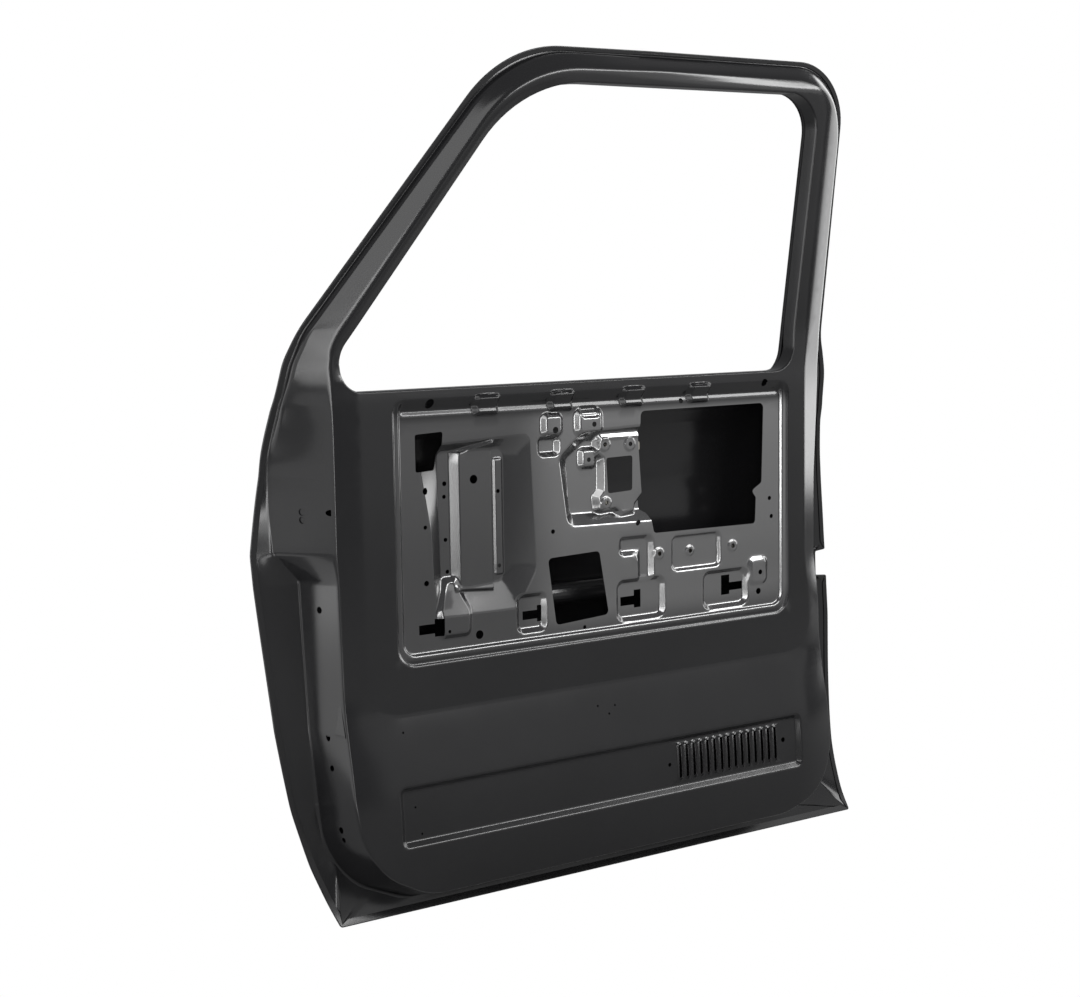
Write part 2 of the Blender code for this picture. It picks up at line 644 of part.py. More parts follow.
def new_piece(name, mesh, material):
    data = bpy.data.meshes.new(name)
    mesh.to_mesh(data)
    mesh.free()
    data.shade_smooth()
    data.set_sharp_from_angle(angle=SHARP_ANGLE)
    data.materials.append(make_material(name + "_finish", *material))
    piece = bpy.data.objects.new(name, data)
    bpy.context.scene.collection.objects.link(piece)
    return piece


def circle(x, z, radius, sides=8):
    return [(x + radius * math.cos(2 * math.pi * k / sides), z + radius * math.sin(2 * math.pi * k / sides))
            for k in range(sides)]


def louvres():
    """Upright slots of the vent, rounded at both ends."""
    half = LOUVRE_WIDTH / 2
    slots = []
    for i in range(LOUVRE_COUNT):
        x = LOUVRE_FIRST_X + i * LOUVRE_PITCH
        slots.append(outline(box(x - half, LOUVRE_BOTTOM, x + half, LOUVRE_TOP, half), 60.0))
    return slots


def build_inner_panel(rim, material):
    """The inner pressing: trim face, window reveal, jamb walls and hem flange."""
    window = outline(WINDOW, EDGE_STEP)
    openings = [outline(c, EDGE_STEP) for c in (MAIN_OPENING, FRONT_OPENING, LOWER_OPENING, HANDLE_OPENING)]
    holes = [circle(*hole) for hole in FACE_HOLES] + louvres() + CLIP_SLOTS
    creases = []
    for form in RECESS_FORMS + FORMS:
        creases.extend(outline(c, CREASE_STEP) for c in form.creases())
    rear = REAR_SHOULDER_X
    top = ROOF_Z - 113
    shoulder = outline([(FRONT_SHOULDER_X, PLATEAU_FOOT_Z, 52), (rear + 1, PLATEAU_FOOT_Z, 52), (rear - 11, -105, 60),
                        (rear - 12, 150, 90), (rear + 3, 262, 90), (rear + 3, top, 10), (rear, top + 1, 1),
                        (FRONT_SHOULDER_X + 3, 140, 1), (FRONT_SHOULDER_X, 139, 1)], 60.0)
    shoulder = [point for point in shoulder if point[0] < FRONT_SHOULDER_X + 1
                or point[1] < PLATEAU_FOOT_Z + 60 or point[0] > REAR_SHOULDER_X - 20]
    turn = max(range(len(shoulder)), key=lambda i: (Vector(shoulder[i]) - Vector(shoulder[i - 1])).length)
    shoulder = shoulder[turn:] + shoulder[:turn]
    foot = PLATEAU_FOOT_Z - LEAN_HEIGHT - 6
    lines = [shoulder, level_line(rim.face, foot, 14.0, 90.0), level_line(rim.face, foot - 38, 14.0, 90.0)]
    flat, faces = sheet_domain(rim.face, [window] + openings + holes, creases, GRID_STEP, lines)
    sheet = Sheet()
    sheet.field(flat, faces, panel_depth)
    sheet.ring(rim.face, rim.face_y, rim.foot, rim.foot_y)
    sheet.ring(rim.foot, rim.foot_y, rim.crease, rim.crease_y)
    sheet.ring(rim.crease, rim.crease_y, rim.hem, rim.hem_y)
    share = (LIP_INSET / rim.hem_width)[:, None]
    lip = rim.edge + (rim.hem - rim.edge) * share
    lip_y = rim.edge_y + (rim.hem_y - rim.edge_y) * share[:, 0]
    sheet.ring(rim.hem, rim.hem_y, lip, lip_y)
    window = np.array(window)
    window_y = panel_depth(window[:, 0], window[:, 1])
    sheet.ring(window, window_y, window, window_y + REVEAL_DEPTH)
    return sheet.finish("inner_panel", PANEL_GAUGE, True, material)


def level_line(loop, z, margin, step):
    """A level row of points across an outline, stopping short of its edges."""
    crossings = []
    for i, (bx, bz) in enumerate(loop):
        ax, az = loop[i - 1]
        if (az > z) != (bz > z):
            crossings.append(ax + (bx - ax) * (z - az) / (bz - az))
    left, right = min(crossings) + margin, max(crossings) - margin
    count = math.ceil((right - left) / step)
    return [(left + (right - left) * k / count, z) for k in range(count + 1)]


def build_outer_skin(rim, material):
    """The outer skin with its window opening, window return and hemmed edge."""
    window_corners = [(x, z - (BELT_DROP if z < SILL_Z + 10 else 0), r) for x, z, r in grow(WINDOW, 2.5)]
    window = outline(window_corners, EDGE_STEP)
    lines = [level_line(rim.hem, z, 14.0, 120.0) for z in SKIN_LEVELS]
    flat, faces = sheet_domain(rim.hem, [window], [], GRID_STEP * 1.4, lines)
    sheet = Sheet()
    sheet.field(flat, faces, skin_depth)
    hem_y = skin_depth(rim.hem[:, 0], rim.hem[:, 1])
    edge_y = skin_depth(rim.edge[:, 0], rim.edge[:, 1])
    sheet.ring(rim.hem, hem_y, rim.edge, edge_y)
    fold = (PANEL_GAUGE + 2 * HEM_GAP + 2 * SKIN_GAUGE) * skin_tilt(rim.edge[:, 0], rim.edge[:, 1])
    sheet.ring(rim.edge, edge_y, rim.edge, edge_y - fold)
    sheet.ring(rim.edge, edge_y - fold, rim.hem, hem_y - fold)
    window = np.array(window)
    window_y = skin_depth(window[:, 0], window[:, 1])
    sheet.ring(window, window_y, window, window_y - 7.0)
    return sheet.finish("outer_skin", SKIN_GAUGE, False, material)


def extrude_strip(name, profile, start, end, gauge, material):
    """A rolled section: an open profile in YZ drawn along X, with its gauge added."""
    mesh = bmesh.new()
    rows = [[mesh.verts.new((x * MM, y * MM, z * MM)) for y, z in profile] for x in (start, end)]
    for i in range(len(profile) - 1):
        mesh.faces.new((rows[0][i], rows[0][i + 1], rows[1][i + 1], rows[1][i]))
    piece = new_piece(name, mesh, material)
    solidify = piece.modifiers.new("gauge", "SOLIDIFY")
    solidify.thickness = gauge * MM
    solidify.offset = 0.0
    solidify.use_even_offset = True
    return piece


def extrude_channel(name, profile, bottom, top, gauge, material):
    """An upright channel: an open profile in XY drawn along Z, with its gauge added."""
    mesh = bmesh.new()
    rows = [[mesh.verts.new((x * MM, y * MM, z * MM)) for x, y in profile] for z in (bottom, top)]
    for i in range(len(profile) - 1):
        mesh.faces.new((rows[0][i], rows[0][i + 1], rows[1][i + 1], rows[1][i]))
    piece = new_piece(name, mesh, material)
    solidify = piece.modifiers.new("gauge", "SOLIDIFY")
    solidify.thickness = gauge * MM
    solidify.offset = 0.0
    solidify.use_even_offset = True
    return piece


def block(name, low, high, material, bevel=0.8):
    """A plain pad or plate between two corners, with broken edges."""
    mesh = bmesh.new()
    bmesh.ops.create_cube(mesh, size=1.0)
    for vert in mesh.verts:
        vert.co = Vector([(low[k] + (vert.co[k] + 0.5) * (high[k] - low[k])) * MM for k in range(3)])
    bmesh.ops.bevel(mesh, geom=mesh.edges[:], offset=bevel * MM, segments=1, affect="EDGES")
    return new_piece(name, mesh, material)


def tube(name, centre, radius, wall, start, end, material, sides=20):
    """A round tube along X."""
    mesh = bmesh.new()
    rings = []
    for x, r in ((start, radius), (end, radius), (end, radius - wall), (start, radius - wall)):
        rings.append([mesh.verts.new((x * MM, (centre[0] + r * math.cos(2 * math.pi * k / sides)) * MM,
                                      (centre[1] + r * math.sin(2 * math.pi * k / sides)) * MM))
                      for k in range(sides)])
    for a in range(4):
        one, two = rings[a], rings[(a + 1) % 4]
        for k in range(sides):
            mesh.faces.new((one[k], one[(k + 1) % sides], two[(k + 1) % sides], two[k]))
    bmesh.ops.recalc_face_normals(mesh, faces=mesh.faces)
    return new_piece(name, mesh, material)


def weld_nut(name, x, z, material):
    """A square weld nut with its bore along Y, seated behind the inner face."""
    mesh = bmesh.new()
    half = NUT_SIDE / 2
    seat = float(panel_depth(x, z)[0]) + PANEL_GAUGE + SEAT_GAP
    chamfer = half - 1.4
    ring = []
    for a, b in ((1, 1), (-1, 1), (-1, -1), (1, -1)):
        near, far = (x + a * half, z + b * chamfer), (x + a * chamfer, z + b * half)
        ring.extend([near, far] if a == b else [far, near])
    flat, faces = sheet_domain(ring, [circle(x, z, NUT_BORE)], [], 50.0)
    verts = [mesh.verts.new((p[0] * MM, seat * MM, p[1] * MM)) for p in flat]
    for f in faces:
        mesh.faces.new([verts[i] for i in f])
    loose = [v for v in mesh.verts if not v.link_faces]
    bmesh.ops.delete(mesh, geom=loose, context="VERTS")
    bmesh.ops.recalc_face_normals(mesh, faces=mesh.faces)
    lid = bmesh.ops.extrude_face_region(mesh, geom=mesh.faces[:])
    moved = [g for g in lid["geom"] if isinstance(g, bmesh.types.BMVert)]
    bmesh.ops.translate(mesh, verts=moved, vec=(0, NUT_HEIGHT * MM, 0))
    bmesh.ops.recalc_face_normals(mesh, faces=mesh.faces)
    return new_piece(name, mesh, material)


def jamb_plate(name, rim, low, high, share_low, share_high, offset, gauge, side, material):
    """A plate that lies along the inside of a jamb wall, between two heights."""
    along = np.argsort(rim.face[:, 1])
    rows = [i for i in along if low <= rim.face[i][1] <= high and (rim.face[i][0] < 300) == (side == "front")]
    mesh = bmesh.new()
    lattice = []
    for i in rows:
        near = np.array([rim.face[i][0], rim.face_y[i], rim.face[i][1]])
        far = np.array([rim.foot[i][0], rim.foot_y[i], rim.foot[i][1]])
        inward = np.cross(far - near, (0, 0, 1.0))
        inward = inward / np.linalg.norm(inward)
        if (inward[0] > 0) != (side == "front"):
            inward = -inward
        lattice.append([mesh.verts.new(Vector((near + (far - near) * t + inward * offset) * MM))
                        for t in (share_low, share_high)])
    for a, b in zip(lattice[:-1], lattice[1:]):
        mesh.faces.new((a[0], a[1], b[1], b[0]))
    bmesh.ops.recalc_face_normals(mesh, faces=mesh.faces)
    bmesh.ops.triangulate(mesh, faces=mesh.faces)
    piece = new_piece(name, mesh, material)
    solidify = piece.modifiers.new("gauge", "SOLIDIFY")
    solidify.thickness = gauge * MM
    solidify.offset = 0.0
    return piece


def notch_cutter():
    """Box that cuts the striker notch through the rear flange and hem."""
    mesh = bmesh.new()
    bmesh.ops.create_cube(mesh, size=1.0)
    low, high = (NOTCH_X, 40.0, NOTCH_BOTTOM), (NOTCH_X + 60, 140.0, NOTCH_TOP)
    for vert in mesh.verts:
        vert.co = Vector([(low[k] + (vert.co[k] + 0.5) * (high[k] - low[k])) * MM for k in range(3)])
    cutter = new_piece("notch_cutter", mesh, ((0.8, 0.1, 0.1), 0.5, 0.0))
    cutter.hide_render = True
    cutter.display_type = "WIRE"
    return cutter


def hole_cutter(rim):
    """Round cutters square to the hinge face, one for each bolt or fixing hole."""
    mesh = bmesh.new()
    for z, y, radius in HINGE_HOLES:
        centre = Vector((rim.wall_x(z, y, "front"), y, z)) * MM
        nearby = Vector((rim.wall_x(z, y + 5, "front"), y + 5, z)) * MM
        down_wall = (nearby - centre).normalized()
        square = down_wall.cross(Vector((0, 0, 1))).normalized()
        turn = square.to_track_quat("Z", "Y").to_matrix().to_4x4()
        bmesh.ops.create_cone(mesh, cap_ends=True, segments=10, radius1=radius * MM, radius2=radius * MM,
                              depth=60 * MM, matrix=Matrix.Translation(centre) @ turn)
    cutter = new_piece("hole_cutter", mesh, ((0.8, 0.1, 0.1), 0.5, 0.0))
    cutter.hide_render = True
    cutter.display_type = "WIRE"
    return cutter


def cut(piece, cutter):
    boolean = piece.modifiers.new(cutter.name, "BOOLEAN")
    boolean.operation = "DIFFERENCE"
    boolean.solver = "EXACT"
    boolean.object = cutter


def build_door():
    primer = ((0.022, 0.022, 0.024), 0.32, 0.0)
    zinc = ((0.16, 0.16, 0.165), 0.45, 0.9)
    mastic = ((0.03, 0.03, 0.032), 0.9, 0.0)
    rim = Perimeter(EDGE_STEP)
    datum = bpy.data.objects.new("door_datum", None)
    bpy.context.scene.collection.objects.link(datum)

    panel = build_inner_panel(rim, primer)
    skin = build_outer_skin(rim, primer)
    cutter = notch_cutter()
    cut(panel, cutter)
    cut(skin, cutter)
    pieces = [panel, skin, cutter]
    drill = hole_cutter(rim)
    cut(panel, drill)
    pieces.append(drill)

    # Belt rails behind the two edges of the glass slot
    seat = PANEL_GAUGE + SEAT_GAP + 0.8
    high, low = float(panel_depth(90, 178)[0]) + seat, float(panel_depth(90, 171)[0]) + seat
    inner_rail = [(high, 178), (low, 171), (low + 15, 166), (low + 15, 148), (low + 19, 145)]
    pieces.append(extrude_strip("belt_rail_inner", inner_rail, RECESS_LEFT + 32, RECESS_RIGHT - 62, 1.2, primer))
    outer_rail = []
    for z in SKIN_LEVELS[-4:]:
        seat = (SKIN_GAUGE + SEAT_GAP + 0.8) * float(skin_tilt(0, z)[0])
        outer_rail.append((float(skin_depth(0, z)[0]) - seat, z))
    outer_rail.append((outer_rail[-1][0] - 11, 158))
    pieces.append(extrude_strip("belt_rail_outer", outer_rail, RECESS_LEFT + 2, RECESS_RIGHT - 12, 1.2, primer))

    # Side impact beam, the brackets that carry its ends, and its damping pads
    beam_y = float(skin_depth(-110, BEAM_Z)[0]) - SKIN_GAUGE - BEAM_RADIUS - 6
    pieces.append(tube("side_impact_beam", (beam_y, BEAM_Z), BEAM_RADIUS, BEAM_WALL, BEAM_FRONT_X, BEAM_REAR_X, primer))
    plate_y = beam_y - BEAM_RADIUS - SEAT_GAP - 2.5
    front_x = rim.wall_x(BEAM_Z, plate_y, "front") + 2.6
    rear_x = rim.wall_x(BEAM_Z, plate_y, "rear") - 2.2
    pieces.append(block("beam_bracket_front", (front_x, plate_y, BEAM_Z - 30), (20, plate_y + 2.5, BEAM_Z + 30), primer))
    pieces.append(block("beam_bracket_rear", (BEAM_REAR_X - 70, plate_y, BEAM_Z - 30), (rear_x, plate_y + 2.5, BEAM_Z + 30), primer))
    for i, x in enumerate((120, 360, 600)):
        face_y = float(skin_depth(x, BEAM_Z)[0]) - SKIN_GAUGE - 1.8
        pieces.append(block("damping_pad_%d" % (i + 1), (x - 30, beam_y + BEAM_RADIUS + SEAT_GAP, BEAM_Z - 12),
                            (x + 30, face_y, BEAM_Z + 12), mastic))

    # Window run channels behind the plain strips beside the trim recess
    back = PANEL_GAUGE + SEAT_GAP + 0.8
    near, far, mouth = RECESS_LEFT - 28, RECESS_LEFT - 48, RECESS_LEFT - 34
    front_channel = [(near, back), (far, back), (far, RUN_DEPTH), (mouth, RUN_DEPTH)]
    near, far, mouth = RECESS_RIGHT + 6, RECESS_RIGHT + 23, RECESS_RIGHT + 9
    rear_channel = [(near, back), (far, back), (far, RUN_DEPTH), (mouth, RUN_DEPTH)]
    for name, channel in (("glass_run_front", front_channel), ("glass_run_rear", rear_channel)):
        pieces.append(extrude_channel(name, channel, RECESS_BOTTOM - 52, BELT_CREASE_Z - 13, 1.0, primer))

    # Hinge and latch reinforcements inside the jambs
    wall = PANEL_GAUGE + SEAT_GAP + 0.15 + PLATE_GAUGE / 2
    pieces.append(jamb_plate("hinge_plate_upper", rim, -30, 110, 0.16, 0.86, wall, PLATE_GAUGE, "front", primer))
    pieces.append(jamb_plate("hinge_plate_lower", rim, -310, -190, 0.16, 0.86, wall, PLATE_GAUGE, "front", primer))
    pieces.append(jamb_plate("latch_plate", rim, -130, 20, 0.14, 0.86, wall - 0.45, 1.6, "rear", primer))
    tapped = wall + PLATE_GAUGE / 2 + SEAT_GAP + 0.15 + 4.0
    pieces.append(jamb_plate("hinge_tapping_plate_upper", rim, -10, 75, 0.3, 0.7, tapped, 8.0, "front", zinc))
    pieces.append(jamb_plate("hinge_tapping_plate_lower", rim, -290, -200, 0.3, 0.7, tapped, 8.0, "front", zinc))

    for plate in pieces[-5:]:
        if plate.name.startswith("hinge"):
            cut(plate, drill)

    for name, x, z in NUTS:
        pieces.append(weld_nut(name, x, z, zinc))

    datum.location = Vector((-rim.wall_x(HINGE_Z, HINGE_Y, "front"), -HINGE_Y, -HINGE_Z)) * MM
    for piece in pieces:
        piece.parent = datum
    return datum


def main():
    clear_scene()
    build_door()


main()
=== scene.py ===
"""Front door shell of a pickup truck, photographed from the cabin side.

The shell is pressed steel, dipped in gloss black electrocoat. Door axes while
modelling are millimetres: +X towards the rear of the vehicle, +Y outboard,
+Z up, Y = 0 on the trim plane. DATUM moves them to the part's own origin.
"""

import json
import math

import bpy
import numpy as np
from mathutils import Matrix, Vector
from mathutils.geometry import delaunay_2d_cdt
from mathutils.kdtree import KDTree

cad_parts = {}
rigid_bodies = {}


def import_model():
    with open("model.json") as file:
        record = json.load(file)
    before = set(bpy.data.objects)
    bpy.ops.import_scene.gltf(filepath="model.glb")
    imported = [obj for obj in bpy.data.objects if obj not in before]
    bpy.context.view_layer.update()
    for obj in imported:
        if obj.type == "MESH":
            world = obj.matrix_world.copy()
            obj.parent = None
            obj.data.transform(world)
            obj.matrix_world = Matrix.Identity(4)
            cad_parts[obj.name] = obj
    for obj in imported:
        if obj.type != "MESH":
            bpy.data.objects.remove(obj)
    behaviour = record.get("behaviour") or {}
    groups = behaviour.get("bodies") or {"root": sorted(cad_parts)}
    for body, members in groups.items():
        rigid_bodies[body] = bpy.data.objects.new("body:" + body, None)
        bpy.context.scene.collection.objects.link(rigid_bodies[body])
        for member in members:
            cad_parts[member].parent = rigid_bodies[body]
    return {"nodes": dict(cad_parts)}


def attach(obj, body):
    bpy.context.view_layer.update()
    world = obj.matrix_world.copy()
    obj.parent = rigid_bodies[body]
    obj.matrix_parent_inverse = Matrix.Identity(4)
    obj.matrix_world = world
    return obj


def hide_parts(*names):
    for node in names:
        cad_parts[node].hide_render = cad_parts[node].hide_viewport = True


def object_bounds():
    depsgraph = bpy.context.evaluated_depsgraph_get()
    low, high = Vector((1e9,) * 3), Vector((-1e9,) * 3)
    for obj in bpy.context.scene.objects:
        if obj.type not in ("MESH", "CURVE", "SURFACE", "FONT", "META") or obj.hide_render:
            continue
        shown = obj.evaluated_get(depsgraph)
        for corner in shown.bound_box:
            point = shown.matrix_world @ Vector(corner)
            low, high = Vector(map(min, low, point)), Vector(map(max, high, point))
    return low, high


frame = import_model()
cad_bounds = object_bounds()
for leftover in [o for o in bpy.data.objects if o.type in ("CAMERA", "LIGHT")]:
    bpy.data.objects.remove(leftover)


# Inner panel, the large pressing that faces the cabin.
# One steel blank drawn to a flat trim face with a window reveal, deep jamb
# walls and a flange, then trimmed and pierced. The outer skin is folded over
# its edge. Drawn steel has no sharp corner, so every crease here has a radius.

MM = 0.001
DATUM = Vector((0.12141, -0.045, -0.008))

# Sheet and hem
PANEL_GAUGE = 0.9
SKIN_GAUGE = 0.9
HEM_GAP = 0.45
HEM_WIDTH = 9.0

# Creases of the cabin face and how steeply the sheet falls away beyond them
SILL_Z = 182.0
BELT_CREASE_Z = 148.0
PLATEAU_FOOT_Z = -282.0
ROOF_CREASE_Z = 624.0
FRONT_CREASE_X = -53.0
REAR_CREASE_X = 768.0
FOOT_CREASE_X = 780.0
MIDDLE_X = 350.0
SHOULDER_ROUND = 30.0
FOOT_CORNER = 52.0
FRONT_SLOPE = 0.15
REAR_SLOPE = 0.40
REAR_FOOT_SLOPE = 0.36
ROOF_SLOPE = 0.45

# Lean of the lower panel and the curl at its foot
LEAN_DEPTH = 30.0
LEAN_HEIGHT = 180.0
FOOT_TUCK_RADIUS = 462.5

# Window frame: its lean, its depth, the seal land and the reveal
TUMBLEHOME = math.tan(math.radians(8.5))
TUMBLE_START_Z = 190.0
FRAME_SET = 15.0
FRAME_DEPTH = 38.0
LAND_WIDTH = 13.0
LAND_SLOPE = 0.5
REVEAL_DEPTH = 27.0
REVEAL_STEP = 6.5

# Row of louvres in the lower recess
LOUVRE_X = 484.0
LOUVRE_LOW = -449.0
LOUVRE_HIGH = -396.0
LOUVRE_WIDTH = 6.0
LOUVRE_PITCH = 14.1
LOUVRE_COUNT = 15
LOUVRE_LIP = 4.0

# Skin's outer face down the middle of the door: height and depth
SKIN_PROFILE = [(-600, 30), (-587, 38), (-560, 53), (-520, 66), (-450, 79), (-380, 86), (-250, 92),
                (-84, 97), (60, 95.5), (100, 90), (125, 81), (150, 69.5), (175, 58.5), (205, 51), (260, 42.5)]

# Round the door, clockwise from the lower front corner: the edge of the inner
# face, the foot of the jamb and the edge of the skin, each with its corner
# radius, and how far down the jamb the foot lies (1 is on the flange)
STATIONS = [
    ((-42, -508, 120), (-60, -531, 110), (-89, -587, 4), 0.94),
    ((-80, -455, 110), (-93, -472, 100), (-119, -500, 250), 0.94),
    ((-88, -392, 200), (-99, -412, 150), (-141, -415, 300), 0.94),
    ((-89, -300, 200), (-110, -303, 150), (-159, -300, 250), 0.94),
    ((-93, -85, 200), (-116, -85, 12), (-181, -90, 150), 0.94),
    ((-95, -42, 100), (-153, -45, 12), (-184, -45, 60), 0.94),
    ((-95, 62, 200), (-153, 66, 120), (-168, 66, 150), 0.962),
    ((-95, 165, 120), (-147, 165, 90), (-161, 160, 60), 0.85),
    ((-92, 222, 100), (-136, 220, 100), (-149, 226, 80), 0.72),
    ((-85, 258, 90), (-118, 265, 90), (-127, 270, 200), 0.62),
    ((186, 633, 225), (190, 658, 222), (182, 668, 200), 0.6),
    ((440, 643, 900), (440, 660, 900), (440, 671.5, 900), 0.8),
    ((820, 645, 105), (826, 662, 95), (838, 673, 100), 0.8),
    ((822, 232, 200), (829, 232, 150), (843, 235, 100), 0.6),
    ((820, 120, 200), (828, 118, 100), (884, 112, 80), 0.9),
    ((809, 10, 200), (817, 10, 100), (892, 10, 200), 0.92),
    ((809, -112, 300), (818, -112, 150), (900, -135, 3), 0.92),
    ((809, -135, 300), (818, -135, 150), (878, -137, 3), 0.92),
    ((810, -172, 300), (819, -172, 150), (878, -178, 3), 0.92),
    ((810, -195, 300), (819, -195, 150), (902, -180, 3), 0.92),
    ((811, -235, 300), (820, -235, 150), (904, -245, 300), 0.92),
    ((815, -445, 90), (824, -458, 90), (899, -470, 300), 0.94),
    ((787, -519, 90), (797, -541, 90), (905, -587, 4), 0.94),
    ((708, -546, 90), (706, -566, 90), (760, -587, 300), 0.94),
    ((30, -547, 100), (26, -566, 100), (0, -587, 300), 0.94),
]
CHORD_ERROR = 0.12


def ease(start, end, value):
    """Smooth step from 0 at start to 1 at end."""
    t = np.clip((np.asarray(value, dtype=float) - start) / (end - start), 0.0, 1.0)
    return t * t * (3.0 - 2.0 * t)


def bend(value, width=6.0):
    """Zero below 0, a straight rise above it, rounded over the given width."""
    value = np.asarray(value, dtype=float)
    round_part = np.clip(value + width / 2, 0.0, width) ** 2 / (2 * width)
    return np.where(value > width / 2, value, round_part)


def through_knots(knots, value):
    """Smooth curve through knots (position, height)."""
    places = np.array([k[0] for k in knots], dtype=float)
    heights = np.array([k[1] for k in knots], dtype=float)
    slopes = np.gradient(heights, places)
    inside = np.clip(np.asarray(value, dtype=float), places[0], places[-1])
    i = np.clip(np.searchsorted(places, inside, side="right") - 1, 0, len(places) - 2)
    span = places[i + 1] - places[i]
    t = (inside - places[i]) / span
    return ((2 * t**3 - 3 * t**2 + 1) * heights[i] + (t**3 - 2 * t**2 + t) * span * slopes[i]
            + (3 * t**2 - 2 * t**3) * heights[i + 1] + (t**3 - t**2) * span * slopes[i + 1])


def corner_tangents(corners):
    """For each rounded corner: where its arc starts and ends, and half its turn."""
    count = len(corners)
    spots = [Vector(corner[:2]) for corner in corners]
    turns = []
    reaches = []
    for i in range(count):
        back = spots[i - 1] - spots[i]
        ahead = spots[(i + 1) % count] - spots[i]
        turns.append(math.pi - back.angle(ahead))
        reaches.append(max(0.2, corners[i][2] * math.tan(turns[i] / 2)))
    tangents = []
    for i in range(count):
        share = 1.0
        for j in (i - 1, (i + 1) % count):
            length = (spots[j] - spots[i]).length
            share = min(share, 0.96 * length / (reaches[i] + reaches[j]))
        reach = reaches[i] * share
        back = (spots[i - 1] - spots[i]).normalized()
        ahead = (spots[(i + 1) % count] - spots[i]).normalized()
        tangents.append((spots[i] + back * reach, spots[i] + ahead * reach, turns[i] / 2))
    return tangents


def loop_counts(corners, step):
    """Facets for each corner's arc and for the straight stretch after it."""
    tangents = corner_tangents(corners)
    arcs = []
    straights = []
    for i, (start, end, half_turn) in enumerate(tangents):
        radius = (end - start).length / max(2 * math.sin(half_turn), 0.02)
        turn = 2 * math.acos(1 - min(CHORD_ERROR / max(radius, 2 * CHORD_ERROR), 0.5))
        arcs.append(max(2, math.ceil(2 * half_turn / turn), math.ceil((end - start).length / step)))
        run = (tangents[(i + 1) % len(tangents)][0] - end).length
        straights.append(max(1, math.ceil(run / step)))
    return arcs, straights


def rounded_loop(corners, counts):
    """Closed outline through rounded corners."""
    arcs, straights = counts
    points = []
    tangents = corner_tangents(corners)
    for i, (start, end, half_turn) in enumerate(tangents):
        peak = Vector(corners[i][:2])
        weight = math.cos(half_turn)
        for k in range(arcs[i] + 1):
            t = k / arcs[i]
            low, middle, high = (1 - t) ** 2, 2 * weight * t * (1 - t), t * t
            point = (start * low + peak * middle + end * high) / (low + middle + high)
            points.append((point.x, point.y))
        following = tangents[(i + 1) % len(tangents)][0]
        for k in range(1, straights[i]):
            point = end.lerp(following, k / straights[i])
            points.append((point.x, point.y))
    return points


def outline(corners, step):
    return rounded_loop(corners, loop_counts(corners, step))


def grow(corners, distance):
    """The same rounded outline moved outwards, or inwards when negative."""
    area = 0.0
    for i, corner in enumerate(corners):
        area += corners[i - 1][0] * corner[1] - corner[0] * corners[i - 1][1]
    side = 1.0 if area > 0 else -1.0
    grown = []
    for i, (x, z, radius) in enumerate(corners):
        before = (Vector((x, z)) - Vector(corners[i - 1][:2])).normalized()
        after = (Vector(corners[(i + 1) % len(corners)][:2]) - Vector((x, z))).normalized()
        normal_before = Vector((before.y, -before.x)) * side
        normal_after = Vector((after.y, -after.x)) * side
        mitre = (normal_before + normal_after).normalized()
        reach = distance / max(0.3, mitre.dot(normal_before))
        grown.append((x + mitre.x * reach, z + mitre.y * reach, max(0.8, radius + distance)))
    return grown


def box(left, bottom, right, top, radius):
    return [(left, bottom, radius), (right, bottom, radius), (right, top, radius), (left, top, radius)]


def path_distance(points, x, z):
    best = np.full(np.shape(x), 1e18)
    for i, (bx, bz) in enumerate(points):
        ax, az = points[i - 1]
        dx, dz = bx - ax, bz - az
        t = np.clip(((x - ax) * dx + (z - az) * dz) / max(dx * dx + dz * dz, 1e-9), 0, 1)
        best = np.minimum(best, (x - ax - t * dx) ** 2 + (z - az - t * dz) ** 2)
    return np.sqrt(best)


def inside_loop(loop, points):
    """Which points lie inside a closed outline."""
    x, z = points[:, 0], points[:, 1]
    inside = np.zeros(len(points), dtype=bool)
    for i, (bx, bz) in enumerate(loop):
        ax, az = loop[i - 1]
        if az != bz:
            inside ^= ((az > z) != (bz > z)) & (x < (bx - ax) * (z - az) / (bz - az) + ax)
    return inside


def distance_to(loop, x, z):
    """Signed distance to an outline, negative inside."""
    inside = inside_loop(loop, np.column_stack((x, z)))
    return np.where(inside, -1.0, 1.0) * path_distance(loop, x, z)


class Emboss:
    """One pressed form between an outer and an inner crease, both with a bend radius."""

    def __init__(self, outer, depth, wall=None, inner=None, soft=4.0, step=14.0):
        self.outer = outer if inner else grow(outer, wall / 2)
        self.inner = inner if inner else grow(outer, -wall / 2)
        self.depth = depth
        self.soft = soft
        self.step = step
        self.loops = [outline(self.outer, 40.0), outline(self.inner, 40.0)]
        self.low = np.min(self.loops[0], axis=0) - soft
        self.high = np.max(self.loops[0], axis=0) + soft

    def add(self, x, z):
        """How far the form moves the sheet at each place."""
        moved = np.zeros(len(x))
        near = (x > self.low[0]) & (x < self.high[0]) & (z > self.low[1]) & (z < self.high[1])
        if near.any():
            inwards = bend(-distance_to(self.loops[0], x[near], z[near]), self.soft)
            outwards = bend(distance_to(self.loops[1], x[near], z[near]), self.soft)
            moved[near] = self.depth * inwards / np.maximum(inwards + outwards, 1e-6)
        return moved

    def creases(self):
        lines = []
        for corners in (self.outer, self.inner):
            for shift in (-self.soft / 2, 0.0, self.soft / 2):
                lines.append(outline(grow(corners, shift), self.step))
        return lines


WINDOW = [(-76, SILL_Z, 28), (-76, 237, 50), (199, 615, 210), (757, 620, 60), (751, SILL_Z + 2, 45)]
WINDOW_PATH = outline(WINDOW, 200.0)

